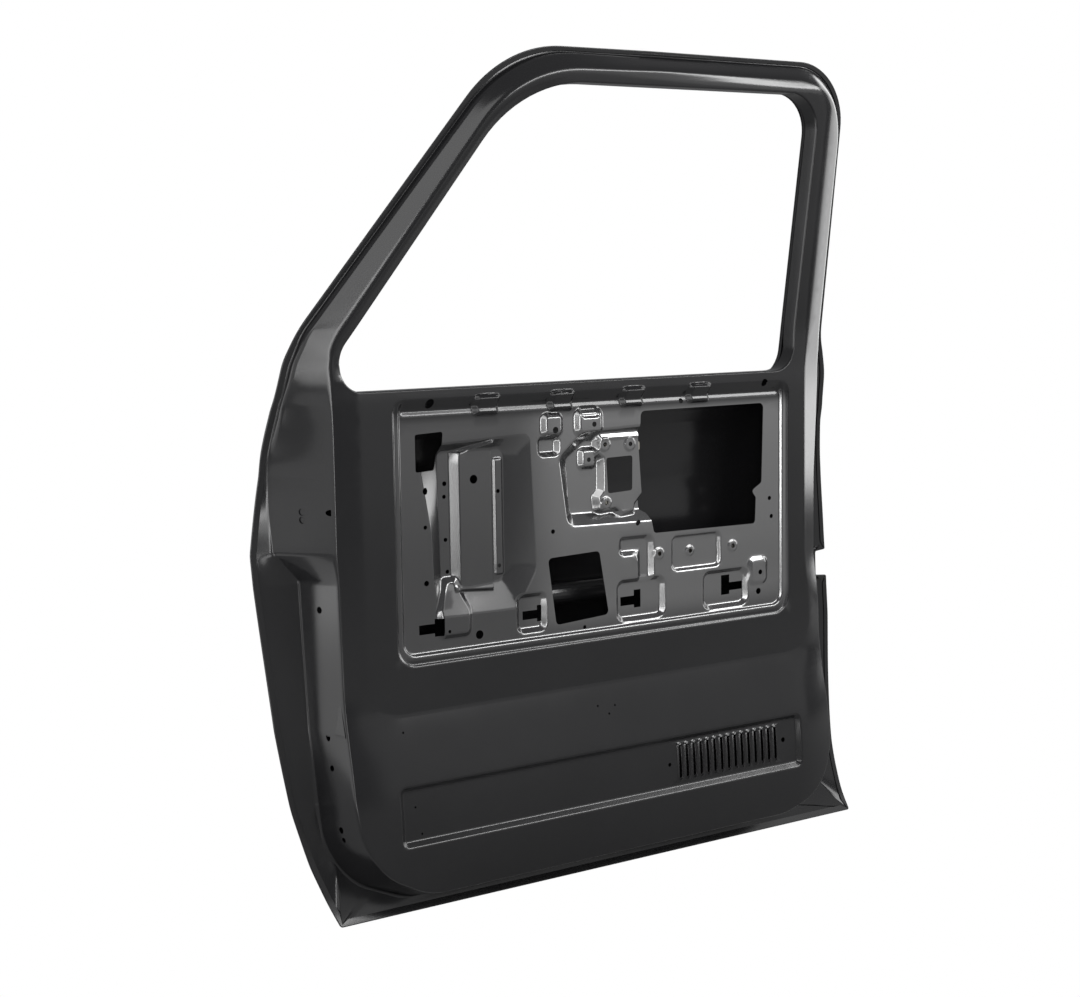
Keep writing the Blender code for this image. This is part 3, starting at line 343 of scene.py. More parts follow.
RECESS_FORMS = [
    Emboss(box(-2, -213, 732, SILL_Z - 6, 28), 3.5, wall=5.0, soft=3.5, step=22),
    Emboss(box(9, -199, 721, SILL_Z - 8, 19), 4.5, wall=5.0, soft=3.5, step=22),
    Emboss(box(12, BELT_CREASE_Z, 717, SILL_Z - 10, 6), 4.0, wall=9.0, soft=6.0, step=22),
]
FORMS = [
    # Louvred recess of the lower panel
    Emboss(box(-16, -465, 734, -385, 7), 8.0, wall=9.0, soft=3.5, step=22),
    # Inside handle pocket and the raised column in it
    Emboss([(283, 70, 18), (299, -37, 16), (490, -41, 5), (490, 112, 8), (327, 106, 30)], 17.0,
           inner=[(306, 64, 10), (312, -19, 8), (484, -22, 6), (484, 92, 6), (340, 90, 16)], soft=5.0),
    Emboss([(360, 97, 8), (446, 97, 8), (446, 72, 6), (448, 60, 6), (448, 4, 6), (432, -12, 6),
            (430, -24, 4), (404, -26, 4), (392, -18, 6), (360, -20, 8), (358, 4, 6), (368, 14, 6),
            (368, 62, 6), (358, 70, 6)], -11.5, wall=8.0, soft=3.5),
    # Regulator trough, its raised channel and side plate
    Emboss([(36, 100, 4), (58, -14, 25), (64, -148, 8), (206, -150, 14), (241, -95, 30), (232, 108, 14)],
           15.0, inner=[(80, 90, 8), (83, -98, 8), (122, -112, 8), (190, -108, 10), (194, 90, 12)], soft=5.0),
    Emboss([(99, -116, 3), (171, -121, 3), (171, 105, 4), (99, 90, 4)], -8.0,
           inner=[(113, -113, 3), (168, -116, 3), (168, 101, 4), (113, 85, 4)], soft=2.5),
    Emboss(box(176, -98, 190, 74, 3), -3.0, wall=4.0, soft=2.0),
    # Bell shaped bump at the foot of the trough
    Emboss([(85, -97, 6), (103, -97, 6), (122, -140, 12), (120, -178, 8), (71, -178, 8), (69, -140, 12)],
           -7.0, wall=9.0),
    # Pockets of the three trim clips, the armrest pocket and the angled pocket beside it
    Emboss(box(208, -187, 255, -134, 9), 8.0, wall=9.0),
    Emboss(box(392, -191, 480, -131, 12), 8.0, wall=9.0),
    Emboss(box(563, -191, 650, -134, 12), 8.0, wall=9.0),
    Emboss(box(499, -123, 594, -70, 9), 6.0, wall=6.0),
    Emboss([(398, -64, 6), (458, -64, 12), (458, -130, 6), (434, -130, 6), (434, -88, 5), (398, -88, 6)],
           8.0, wall=9.0),
    # Fork bosses of the lock rods with their cups, and the pad near the latch
    Emboss(box(254, 104, 287, 135, 8), -8.0, wall=8.0),
    Emboss(box(249, 75, 283, 100, 7), 9.0, wall=7.0),
    Emboss(box(315, 103, 361, 138, 9), -8.0, wall=9.0),
    Emboss(box(322, 128, 354, 142, 5), 4.0, wall=5.0, soft=3.0),
    Emboss(box(332, 50, 359, 78, 6), -8.0, wall=7.0),
    Emboss(box(655, -160, 690, -119, 9), -5.0, wall=8.0),
]
# Tabs along the belt
FORMS += [Emboss(box(x, 142, x + 38, 168, 4), -8.0, wall=7.0, soft=3.0) for x in (136, 268, 401, 531)]

# Raised rings round the threaded fixings: place and radius
FIXINGS = [(372, 84, 10), (420, 82, 10), (374, -6, 9), (471, -93, 9), (620, -94, 9), (537, -95, 8)]
FORMS += [Emboss(box(x - r, z - r, x + r, z + r, r * 0.98), -2.0, wall=3.0, soft=2.0, step=6.0)
          for x, z, r in FIXINGS]


def front_pillar(x, z):
    """1 along the front pillar of the window frame, easing to 0 at the sill and the roof."""
    return ease(SILL_Z + 12, SILL_Z + 40, z) * ease(300, 140, x)


def tumble(z):
    """Depth of the window frame's face: set outboard at the belt, then leaning in."""
    return FRAME_SET * ease(150, 260, z) - TUMBLEHOME * bend(z - TUMBLE_START_Z, 30)


def panel_depth(x, z):
    """Depth of the cabin side, in millimetres outboard of the trim plane."""
    x = np.atleast_1d(np.asarray(x, dtype=float))
    z = np.atleast_1d(np.asarray(z, dtype=float))
    depth = tumble(z)
    # Rear shoulder, which runs down from the roof rail, and front shoulder
    crease_x = REAR_CREASE_X + 14 * ease(150, 260, z) + 12 * ease(-110, -215, z)
    over_x = np.maximum(x - crease_x + SHOULDER_ROUND, 0)
    over_z = np.maximum(z - ROOF_CREASE_Z + SHOULDER_ROUND, 0)
    slope = REAR_SLOPE + 0.13 * ease(230, 120, z) - 0.17 * ease(-110, -228, z)
    overhead = over_z / np.maximum(np.hypot(over_x, over_z), 1e-6)
    roof_slope = ROOF_SLOPE * ease(180, 250, x) * (0.25 + 0.75 * ease(250, 760, x))
    slope = slope + (roof_slope - slope) * overhead**2
    roll = 8 + 26 * ease(180, 320, z) * (1 - 0.8 * overhead**2)
    rear_run = slope * bend(np.hypot(over_x, over_z) - SHOULDER_ROUND, roll)
    front_run = FRONT_SLOPE * bend(FRONT_CREASE_X - x, 10) * ease(300, 200, z)
    # Lower panel, leaning into the cabin below the plateau and tucking under at the
    # foot. Its crease turns up at both ends and becomes the two shoulders.
    across = np.where(x < MIDDLE_X, FRONT_CREASE_X + FOOT_CORNER - x, x - FOOT_CREASE_X + FOOT_CORNER)
    beside = np.maximum(across, 0)
    below = np.maximum(PLATEAU_FOOT_Z + FOOT_CORNER - z, 0)
    run = bend(np.hypot(beside, below) - FOOT_CORNER, 8)
    downness = ease(0, 1, np.arctan2(below, beside) / (math.pi / 2))
    lean = LEAN_DEPTH * (np.clip(1 - run / LEAN_HEIGHT, 0, 1) ** 2 - 1)
    shoulder_slope = np.where(x < MIDDLE_X, FRONT_SLOPE, REAR_FOOT_SLOPE)
    turned = lean * downness + shoulder_slope * run * (1 - downness)
    depth = depth + np.where(below > 0, turned, rear_run + front_run)
    depth = depth + np.maximum(PLATEAU_FOOT_Z - z - LEAN_HEIGHT, 0) ** 2 / (2 * FOOT_TUCK_RADIUS)
    # Seal land along the front of the window, which slopes outboard towards the glass
    land = bend(LAND_WIDTH - path_distance(WINDOW_PATH, x, z), 4) * front_pillar(x, z)
    depth = depth + LAND_SLOPE * land
    # Lips of the louvres, pressed towards the cabin
    swell = 0.5 + 0.5 * np.cos(2 * math.pi * (x - LOUVRE_X - LOUVRE_WIDTH / 2) / LOUVRE_PITCH)
    row_end = LOUVRE_X + (LOUVRE_COUNT - 1) * LOUVRE_PITCH + LOUVRE_WIDTH
    along = ease(LOUVRE_X - 4, LOUVRE_X, x) * ease(row_end + 4, row_end, x)
    upright = ease(LOUVRE_LOW - 6, LOUVRE_LOW + 3, z) * ease(LOUVRE_HIGH + 6, LOUVRE_HIGH - 3, z)
    depth = depth - LOUVRE_LIP * swell * along * upright
    # The trim recess runs out under the belt
    fade = 1 - ease(150, 170, z)
    for form in RECESS_FORMS:
        depth = depth + form.add(x, z) * fade
    for form in FORMS:
        depth = depth + form.add(x, z)
    return depth


def skin_depth(x, z):
    """Depth of the skin's outer face: crowned side, belt shoulder and leaning frame."""
    x = np.atleast_1d(np.asarray(x, dtype=float))
    z = np.atleast_1d(np.asarray(z, dtype=float))
    body = through_knots(SKIN_PROFILE, z)
    leaning = FRAME_SET + FRAME_DEPTH - TUMBLEHOME * (z - TUMBLE_START_Z)
    across = np.clip((x - 355) / 455, -1, 1)
    crown = 7.0 * (1 - across**2) ** 2 * ease(90, 10, z) * ease(-590, -480, z)
    return np.where(z > 260, leaning, body) + crown


def skin_tilt(x, z):
    slope = (skin_depth(x, np.asarray(z) + 4.0) - skin_depth(x, np.asarray(z) - 4.0)) / 8.0
    return np.sqrt(1 + slope**2)


def flange_depth(x, z):
    """Cabin side of the panel's flange, inside the hem."""
    return skin_depth(x, z) - (SKIN_GAUGE + HEM_GAP + PANEL_GAUGE) * skin_tilt(x, z)


def surface_normals(depth, x, z, side):
    """Normals of a height field, towards the cabin (side -1) or outboard (side 1)."""
    h = 0.4
    along_x = (depth(x + h, z) - depth(x - h, z)) / (2 * h)
    along_z = (depth(x, z + h) - depth(x, z - h)) / (2 * h)
    normals = np.column_stack((-along_x, np.ones(len(x)), -along_z)) * side
    return normals / np.linalg.norm(normals, axis=1, keepdims=True)


def fill_outline(outer, holes, creases, step):
    """Triangles of an outline with holes, with the creases as edges and a loose grid between."""
    points = []
    edges = []
    for loop in [outer] + holes:
        first = len(points)
        points.extend(tuple(p) for p in loop)
        edges.extend((first + i, first + (i + 1) % len(loop)) for i in range(len(loop)))
    wall_count = len(edges)
    for loop in creases:
        first = len(points)
        points.extend(tuple(p) for p in loop)
        edges.extend((first + i, first + (i + 1) % len(loop)) for i in range(len(loop)))
    tree = KDTree(len(points))
    for i, point in enumerate(points):
        tree.insert((*point, 0), i)
    tree.balance()
    low, high = np.min(outer, axis=0), np.max(outer, axis=0)
    for j, row in enumerate(np.arange(low[1] + step / 2, high[1], step * 0.87)):
        for column in np.arange(low[0] + step / 2, high[0], step) + (step / 2 if j % 2 else 0):
            if tree.find((column, row, 0))[2] > step * 0.55:
                points.append((column, row))
    result = delaunay_2d_cdt([Vector(p) for p in points], edges, [], 0, 1e-4)
    flat = np.array([points[s[0]] if s else (v.x, v.y) for v, s in zip(result[0], result[3])])
    faces = [tuple(f) for f in result[2]]
    walls = {tuple(sorted(e)) for e, s in zip(result[1], result[4]) if any(k < wall_count for k in s)}
    across = {}
    for f, corners in enumerate(faces):
        for i, corner in enumerate(corners):
            across.setdefault(tuple(sorted((corners[i - 1], corner))), []).append(f)
    seen = set()
    kept = []
    for first in range(len(faces)):
        if first in seen:
            continue
        seen.add(first)
        group = [first]
        for f in group:
            corners = faces[f]
            for i, corner in enumerate(corners):
                edge = tuple(sorted((corners[i - 1], corner)))
                if edge in walls:
                    continue
                fresh = [other for other in across[edge] if other not in seen]
                seen.update(fresh)
                group.extend(fresh)
        places = flat[np.array([faces[f] for f in group])]
        side_a = places[:, 1] - places[:, 0]
        side_b = places[:, 2] - places[:, 0]
        doubled = np.abs(side_a[:, 0] * side_b[:, 1] - side_a[:, 1] * side_b[:, 0])
        centre = places[np.argmax(doubled)].mean(axis=0)[None, :]
        pierced = any(inside_loop(hole, centre)[0] for hole in holes)
        if doubled.max() > 1.0 and inside_loop(outer, centre)[0] and not pierced:
            kept.extend(faces[f] for f in group)
    return flat, kept


def profile_rows(corners, reaches, facets):
    """Rows across a wall: straight runs with a rounded bend at each inner corner."""
    rows = [corners[0]]
    for k in range(1, len(corners) - 1):
        back, ahead = corners[k - 1] - corners[k], corners[k + 1] - corners[k]
        length_back = np.linalg.norm(back, axis=1, keepdims=True)
        length_ahead = np.linalg.norm(ahead, axis=1, keepdims=True)
        start = corners[k] + back * np.minimum(reaches[k - 1] / np.maximum(length_back, 1e-6), 0.46)
        end = corners[k] + ahead * np.minimum(reaches[k - 1] / np.maximum(length_ahead, 1e-6), 0.46)
        rows.append((rows[-1] + start) / 2)
        for m in range(facets + 1):
            t = m / facets
            rows.append(start * (1 - t) ** 2 + corners[k] * 2 * t * (1 - t) + end * t * t)
    rows.append((rows[-1] + corners[-1]) / 2)
    rows.append(corners[-1])
    return np.array(rows)


class Shell:
    """A pressed sheet being put together from patches that share their edges."""

    def __init__(self):
        self.index = {}
        self.places = []
        self.normals = []
        self.faces = []

    def vertex(self, place, normal):
        key = (round(float(place[0]), 2), round(float(place[1]), 2), round(float(place[2]), 2))
        if key not in self.index:
            self.index[key] = len(self.places)
            self.places.append(place)
            self.normals.append(normal)
        return self.index[key]

    def patch(self, places, normals, faces):
        """Triangles given with the side they face, whatever their winding."""
        ids = [self.vertex(p, n) for p, n in zip(places, normals)]
        for face in faces:
            a, b, c = [ids[i] for i in face]
            if a == b or b == c or a == c:
                continue
            pa, pb, pc = self.places[a], self.places[b], self.places[c]
            wanted = normals[face[0]] + normals[face[1]] + normals[face[2]]
            facing = np.dot(np.cross(pb - pa, pc - pa), wanted)
            self.faces.append((a, b, c) if facing > 0 else (a, c, b))

    def field(self, flat, faces, depth, side):
        used = sorted({i for f in faces for i in f})
        spot = {i: k for k, i in enumerate(used)}
        x, z = flat[used][:, 0], flat[used][:, 1]
        places = np.column_stack((x, depth(x, z), z))
        self.patch(places, surface_normals(depth, x, z, side), [tuple(spot[i] for i in f) for f in faces])

    def lattice(self, rows, side, holes=()):
        """A closed band of rows, pierced where holes give a place and a radius."""
        count = rows.shape[1]
        around = np.roll(rows, -1, axis=1) - np.roll(rows, 1, axis=1)
        down = np.gradient(rows, axis=0)
        normals = np.cross(around, down) * side
        normals /= np.maximum(np.linalg.norm(normals, axis=2, keepdims=True), 1e-9)
        if not holes:
            places = rows.reshape(-1, 3)
            faces = []
            for j in range(len(rows) - 1):
                for i in range(count):
                    k = (i + 1) % count
                    a, b, c, d = j * count + i, j * count + k, (j + 1) * count + k, (j + 1) * count + i
                    faces.extend(((a, b, c), (a, c, d)))
            self.patch(places, normals.reshape(-1, 3), faces)
            return
        unit = 10.0
        loops = []
        for target, radius in holes:
            away = np.linalg.norm(rows - np.array(target), axis=2)
            j, i = np.unravel_index(np.argmin(away), away.shape)
            j = min(max(j, 1), len(rows) - 2)
            wide = np.linalg.norm(rows[j, (i + 1) % count] - rows[j, i - 1]) / 2
            tall = np.linalg.norm(rows[j + 1, i] - rows[j - 1, i]) / 2
            loops.append([(unit * (i + radius / wide * math.cos(a)), unit * (j + radius / tall * math.sin(a)))
                          for a in np.linspace(0, 2 * math.pi, 20, endpoint=False)])
        last = unit * (len(rows) - 1)
        border = [(unit * i, 0.0) for i in range(count + 1)]
        border += [(unit * count, unit * j) for j in range(1, len(rows))]
        border += [(unit * i, last) for i in range(count - 1, -1, -1)]
        border += [(0.0, unit * j) for j in range(len(rows) - 2, 0, -1)]
        stretches = [[(unit * i, unit * j) for i in range(count + 1)] for j in range(1, len(rows) - 1)]
        flat, faces = fill_outline(border, loops, [s + s[-2:0:-1] for s in stretches], 1e5)
        u, v = flat[:, 0] / unit, np.clip(flat[:, 1] / unit, 0, len(rows) - 1)
        j = np.minimum(v.astype(int), len(rows) - 2)
        i = u.astype(int)
        s, t = (u - i)[:, None], (v - j)[:, None]
        i, k = i % count, (i + 1) % count

        def mix(values):
            near = values[j, i] * (1 - s) + values[j, k] * s
            far = values[j + 1, i] * (1 - s) + values[j + 1, k] * s
            return near * (1 - t) + far * t

        self.patch(mix(rows), mix(normals), faces)

    def finish(self, name, gauge, sheen_amount=0.0):
        """Close the sheet with its back and its cut edges.

        The last argument scales a painted sheen over the trim recess, up to 1: a mask kept on the mesh that
        raises the coat's reflection there.
        """
        front = np.array(self.places)
        normals = np.array(self.normals)
        normals /= np.linalg.norm(normals, axis=1, keepdims=True)
        faces = np.array(self.faces)
        count = len(front)
        back = front - normals * gauge
        ends = np.concatenate([faces[:, [0, 1]], faces[:, [1, 2]], faces[:, [2, 0]]])
        paired = {(a, b) for a, b in ends.tolist()}
        open_edges = [(a, b) for a, b in ends.tolist() if (b, a) not in paired]
        polygons = faces.tolist() + (faces[:, ::-1] + count).tolist()
        polygons += [(b, a, a + count, b + count) for a, b in open_edges]
        places = np.concatenate([front, back]) * MM + np.array(DATUM)
        mesh = bpy.data.meshes.new(name)
        mesh.from_pydata(places.tolist(), [], polygons)
        mesh.update()
        corner = np.empty(len(mesh.loops), np.int32)
        mesh.loops.foreach_get("vertex_index", corner)
        corner_normals = np.concatenate([normals, -normals])[corner]
        cut_edges = np.array([tuple(p.normal) for p in mesh.polygons[2 * len(faces):]]).reshape(-1, 3)
        corner_normals[6 * len(faces):] = np.repeat(cut_edges, 4, axis=0)
        x, z = np.concatenate([front, front])[:, [0, 2]].T
        # Painted sheen: a mask over the trim recess, weaker over the trough and towards the bottom, that
        # brightens the coat's reflection there
        in_recess = ease(-4, 4, x) * ease(736, 728, x) * ease(-210, -200, z) * ease(146, 126, z)
        sheen_falloff = 0.35 + 0.65 * ease(195, 300, x) * ease(-205, -160, z)
        painted_sheen = mesh.attributes.new("painted_sheen", "FLOAT", "POINT")
        painted_sheen.data.foreach_set("value", (sheen_amount * in_recess * sheen_falloff).astype(np.float32))
        mesh.shade_smooth()
        mesh.normals_split_custom_set(corner_normals.tolist())
        piece = bpy.data.objects.new(name, mesh)
        bpy.context.scene.collection.objects.link(piece)
        return piece


COAT_IOR = 1.5
# IOR of the painted sheen, which makes the trim recess mirror more light than the rest of the coat
PAINTED_SHEEN_IOR = 3.3


def electrocoat(name, roughness=0.17, shade=0.008, peel=0.05, with_painted_sheen=False):
    """Gloss black dip paint with a fine orange peel and a cloudy gloss.

    Its last switch turns on a painted sheen: the IOR rises with the mesh's sheen mask, so that the masked
    trim recess mirrors more light.
    """
    material = bpy.data.materials.new(name)
    material.use_nodes = True
    nodes = material.node_tree.nodes
    links = material.node_tree.links
    shader = nodes["Principled BSDF"]
    place = nodes.new("ShaderNodeTexCoord")
    cloud = nodes.new("ShaderNodeTexNoise")
    cloud.inputs["Scale"].default_value = 9.0
    cloud.inputs["Detail"].default_value = 5.0
    links.new(place.outputs["Object"], cloud.inputs["Vector"])
    gloss = nodes.new("ShaderNodeMapRange")
    gloss.inputs["To Min"].default_value = roughness - 0.04
    gloss.inputs["To Max"].default_value = roughness + 0.05
    links.new(cloud.outputs["Fac"], gloss.inputs["Value"])
    links.new(gloss.outputs["Result"], shader.inputs["Roughness"])
    grain = nodes.new("ShaderNodeTexNoise")
    grain.inputs["Scale"].default_value = 420.0
    grain.inputs["Detail"].default_value = 2.0
    links.new(place.outputs["Object"], grain.inputs["Vector"])
    bump = nodes.new("ShaderNodeBump")
    bump.inputs["Strength"].default_value = peel
    bump.inputs["Distance"].default_value = 0.0004
    links.new(grain.outputs["Fac"], bump.inputs["Height"])
    links.new(bump.outputs["Normal"], shader.inputs["Normal"])
    tint = nodes.new("ShaderNodeMix")
    tint.data_type = "RGBA"
    tint.inputs[6].default_value = (shade, shade, shade * 1.08, 1)
    tint.inputs[7].default_value = (shade * 1.7, shade * 1.7, shade * 1.8, 1)
    links.new(cloud.outputs["Fac"], tint.inputs["Factor"])
    links.new(tint.outputs[2], shader.inputs["Base Color"])
    shader.inputs["IOR"].default_value = COAT_IOR
    # Painted sheen: the IOR follows the mesh's sheen mask, brightening the reflections there
    if with_painted_sheen:
        sheen_amount = nodes.new("ShaderNodeAttribute")
        sheen_amount.attribute_name = "painted_sheen"
        mirror = nodes.new("ShaderNodeMapRange")
        mirror.inputs["To Min"].default_value = COAT_IOR
        mirror.inputs["To Max"].default_value = PAINTED_SHEEN_IOR
        links.new(sheen_amount.outputs["Fac"], mirror.inputs["Value"])
        links.new(mirror.outputs["Result"], shader.inputs["IOR"])
    return material


# Perimeter loops of the jamb and hem, all with the same stations
EDGE_STEP = 12.0
FOOT_RISE = 2.5
FRONT_FOOT_RISE = 9.0
FRONT_FOOT_SHARE = 0.08
FACE_TURN = 5.0
WIDE_TURN = 13.0
LIP_WIDTH = 2.7
edge_counts = loop_counts([s[2] for s in STATIONS], EDGE_STEP)
face_counts = loop_counts([s[0] for s in STATIONS], EDGE_STEP)
rim_counts = ([max(a, b) for a, b in zip(edge_counts[0], face_counts[0])],
              [max(a, b) for a, b in zip(edge_counts[1], face_counts[1])])
face_loop = np.array(rounded_loop([s[0] for s in STATIONS], rim_counts))
foot_loop = np.array(rounded_loop([s[1] for s in STATIONS], rim_counts))
edge_loop = np.array(rounded_loop([s[2] for s in STATIONS], rim_counts))


def moved_in(loop, distance):
    """An outline moved square to itself, into the door."""
    ahead = np.roll(loop, -1, axis=0) - loop
    ahead /= np.maximum(np.linalg.norm(ahead, axis=1, keepdims=True), 1e-9)
    behind = np.roll(ahead, 1, axis=0)
    along = ahead + behind
    along /= np.maximum(np.linalg.norm(along, axis=1, keepdims=True), 1e-9)
    reach = distance / np.maximum(0.5, np.sum(along * ahead, axis=1))
    return loop + np.column_stack((along[:, 1], -along[:, 0])) * np.reshape(reach, (-1, 1))


def spread(values):
    """One value for each loop point, eased between the stations."""
    result = []
    for i, value in enumerate(values):
        following = values[(i + 1) % len(values)]
        result.extend([value] * (rim_counts[0][i] + 1))
        steps = rim_counts[1][i]
        result.extend([value + (following - value) * float(ease(0, 1, k / steps)) for k in range(1, steps)])
    return np.array(result)


def raised(loop, depths):
    """Loop points in the plane of the door with a depth for each."""
    return np.column_stack((loop[:, 0], depths, loop[:, 1]))


foot_share = spread([s[3] for s in STATIONS])
face_y = panel_depth(face_loop[:, 0], face_loop[:, 1])
foot_flange = flange_depth(foot_loop[:, 0], foot_loop[:, 1])
front_flange = ease(-95, -110, foot_loop[:, 0]) * ease(60, -60, foot_loop[:, 1])
foot_y = face_y + (foot_flange - face_y) * (foot_share - FRONT_FOOT_SHARE * front_flange)
room = path_distance(foot_loop, edge_loop[:, 0], edge_loop[:, 1])
hem_width = np.minimum(HEM_WIDTH, 0.55 * room)
for sharp_x, sharp_z, sharp_radius in [s[2] for s in STATIONS if s[2][2] < 10]:
    close = np.hypot(edge_loop[:, 0] - sharp_x, edge_loop[:, 1] - sharp_z) < 1.3 * sharp_radius
    hem_width[close] = 0.85 * sharp_radius
hem_loop = moved_in(edge_loop, hem_width)
outward = edge_loop - foot_loop
reach_out = np.linalg.norm(outward, axis=1, keepdims=True)
crease_loop = foot_loop + outward / reach_out * np.minimum(4.0, 0.2 * reach_out)
foot_rise = (FOOT_RISE + FRONT_FOOT_RISE * front_flange) * (0.5 + 0.5 * ease(12, 30, room))
crease_y = flange_depth(crease_loop[:, 0], crease_loop[:, 1]) - foot_rise
lip_loop = edge_loop + (hem_loop - edge_loop) * (LIP_WIDTH / hem_width)[:, None]

# The face turns over with a wide radius along the roof and the rear pillar
turn_over = spread([FACE_TURN] * 9 + [7.0] + [WIDE_TURN] * 4 + [FACE_TURN] * 11)
inner_loop = moved_in(face_loop, turn_over)
inner_y = panel_depth(inner_loop[:, 0], inner_loop[:, 1])
jamb_corners = [raised(inner_loop, inner_y), raised(face_loop, face_y), raised(foot_loop, foot_y),
                raised(crease_loop, crease_y),
                raised(hem_loop, flange_depth(hem_loop[:, 0], hem_loop[:, 1])),
                raised(lip_loop, flange_depth(lip_loop[:, 0], lip_loop[:, 1]))]
jamb_rows = profile_rows(jamb_corners, [1.2 * turn_over[:, None], 4.0, 2.0, 0.5], 5)

# Bolt and fixing holes of the jamb and flange: place and radius
JAMB_HOLES = [((-119, 36, 19), 5.0), ((-108, 22, 19), 4.5), ((-114, 30, 7), 5.0), ((-105, 47, -123), 5.0),
              ((-102, 48, -306), 4.5), ((-98, 26, -347), 4.5), ((-89, 41, -444), 5.0), ((-87, 23, -459), 4.0)]

# Window opening: a rolled edge, then a deep reveal that is shallower along the front pillar
WINDOW_ROLL = 4.0
window_loop = np.array(outline(WINDOW, 14.0))
window_out = moved_in(window_loop, -WINDOW_ROLL)
window_x, window_z = window_loop.T
window_y = panel_depth(window_x, window_z)
reveal_end = window_y + REVEAL_DEPTH - REVEAL_STEP * front_pillar(window_x, window_z)
reveal_corners = [raised(window_out, panel_depth(window_out[:, 0], window_out[:, 1])),
                  raised(window_loop, window_y), raised(window_loop, reveal_end)]
reveal_rows = profile_rows(reveal_corners, [WINDOW_ROLL], 4)

# Main, front, lower and handle openings, each corner with its radius
OPENINGS = [
    [(436, 92, 10), (438, 132, 8), (686, 133, 8), (682, 4, 6), (661, -8, 5), (670, -20, 5),
     (668, -62, 6), (462, -60, 6), (455, -30, 6), (444, -22, 6)],
    [(36, 118, 3), (82, 120, 3), (80, 92, 3), (73, 64, 3), (36, 64, 3)],
    [(261, -81, 7), (356, -78, 7), (373, -178, 7), (275, -184, 7)],
    [(375, 63, 4), (425, 64, 4), (424, 10, 4), (378, 8, 4)],
]
# T-shaped slots for the trim clips
CLIP_SLOTS = [
    [(36, -157), (62, -157), (62, -150), (75, -150), (75, -176), (62, -176), (62, -171), (36, -171)],
    [(219, -158), (245, -158), (245, -151), (252, -151), (252, -176), (245, -176), (245, -171), (219, -171)],
    [(401, -156), (427, -156), (427, -147), (440, -147), (440, -175), (427, -175), (427, -170), (401, -170)],
    [(603, -142), (620, -142), (620, -155), (646, -155), (646, -168), (620, -168), (620, -174), (603, -174)],
]
# Round holes of the cabin face: place and radius
FACE_HOLES = [(60, 161, 7), (684, 166, 6), (137, 47, 6.5), (138, -182, 6.5), (675, -174, 5), (182, 26, 3),
              (182, -85, 3), (271, -41, 3.5), (430, -42, 3.5), (675, -142, 4), (699, -23, 3.5),
              (703, -53, 3.5), (273, 112, 5), (344, 117, 4), (52, 36, 5), (50, -97, 4), (467, -425, 3),
              (703, -421, 4), (-70, 314, 6), (-94, 290, 3), (275, 646, 3), (92, 43, 3.5), (91, 24, 3),
              (50, -16, 3), (92, -39, 3), (94, -86, 3), (327, -193, 3), (517, 144, 4), (83, -170, 2.5),
              (345, 62, 3.5), (337, -314, 1.6), (369, -317, 1.6), (356, -328, 1.6), (-3, -305, 1.6),
              (7, -413, 1.6), (16, -453, 1.6), (433, -40, 3)]
FACE_HOLES += [(x, z, 3.6) for x, z, radius in FIXINGS]


def circle(x, z, radius, sides=20):
    angles = [2 * math.pi * k / sides for k in range(sides)]
    return [(x + radius * math.cos(angle), z + radius * math.sin(angle)) for angle in angles]


face_holes = []
for hole in FACE_HOLES:
    ring = circle(*hole)
    if not any(inside_loop(outline(o, 40), np.array(ring)).any() for o in OPENINGS):
        face_holes.append(ring)
louvre_boxes = []
for i in range(LOUVRE_COUNT):
    left = LOUVRE_X + i * LOUVRE_PITCH
    louvre_boxes.append(box(left, LOUVRE_LOW, left + LOUVRE_WIDTH, LOUVRE_HIGH, LOUVRE_WIDTH / 2))
louvres = [outline(slot, 9.0) for slot in louvre_boxes]

# Mesh edges along every crease, so that its bend radius keeps its shape
creases = []
for form in RECESS_FORMS + FORMS:
    creases.extend(form.creases())
for slot in louvre_boxes:
    creases.extend(outline(grow(slot, shift), 9.0) for shift in (1.3, 2.5, 3.6))
shoulder = [(FRONT_CREASE_X, PLATEAU_FOOT_Z, FOOT_CORNER), (781, PLATEAU_FOOT_Z, FOOT_CORNER),
            (769, -105, 60), (REAR_CREASE_X, 150, 90), (783, 262, 90), (783, 610, 30), (-50, 170, 30)]
for crease_shift in (-4.0, 0.0, 4.0):
    strip = np.array(outline(grow(shoulder, crease_shift), 16.0))
    at_window = path_distance(window_loop, strip[:, 0], strip[:, 1]) < 12
    at_window |= inside_loop(window_loop, strip)
    keep = ~at_window & ((strip[:, 0] > 700) | (strip[:, 1] < 0) | (strip[:, 0] < -45))
    runs = np.split(np.arange(len(strip)), np.where(np.diff(keep.astype(int)) != 0)[0] + 1)
    for run in runs:
        if keep[run[0]] and len(run) > 3:
            there = [tuple(p) for p in strip[run]]
            creases.append(there + there[-2:0:-1])
for land_shift in (-2.0, -0.7, 0.7, 2.0):
    land_edge = moved_in(window_loop, -LAND_WIDTH - land_shift)
    creases.append([tuple(p) for p in land_edge])
opening_loops = [outline(o, 12.0) for o in OPENINGS]
panel_flat, panel_faces = fill_outline(
    [tuple(p) for p in inner_loop],
    [[tuple(p) for p in window_out]] + opening_loops + face_holes + louvres + CLIP_SLOTS, creases, 13.0)
panel_shell = Shell()
panel_shell.field(panel_flat, panel_faces, panel_depth, -1)
panel_shell.lattice(jamb_rows, 1, JAMB_HOLES)
panel_shell.lattice(reveal_rows, -1)
# The inner panel carries the painted sheen over its trim recess
inner_panel = panel_shell.finish("inner_panel_pressing", PANEL_GAUGE, sheen_amount=1.0)
inner_panel.data.materials.append(electrocoat("black_electrocoat_inner", with_painted_sheen=True))
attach(inner_panel, "root")
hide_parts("inner_panel")


# Outer skin, the painted body side.
# A shallow crowned sheet that ends in a hem: its edge is folded right over the
# inner panel's flange, which shows as a thin strip all round from the cabin.

SKIN_SILL_DROP = 14.0
SKIN_WINDOW_LIP = 7.0
HANDLE_HOLE = (697, 111, 6)
HEM_BEND = 1.6

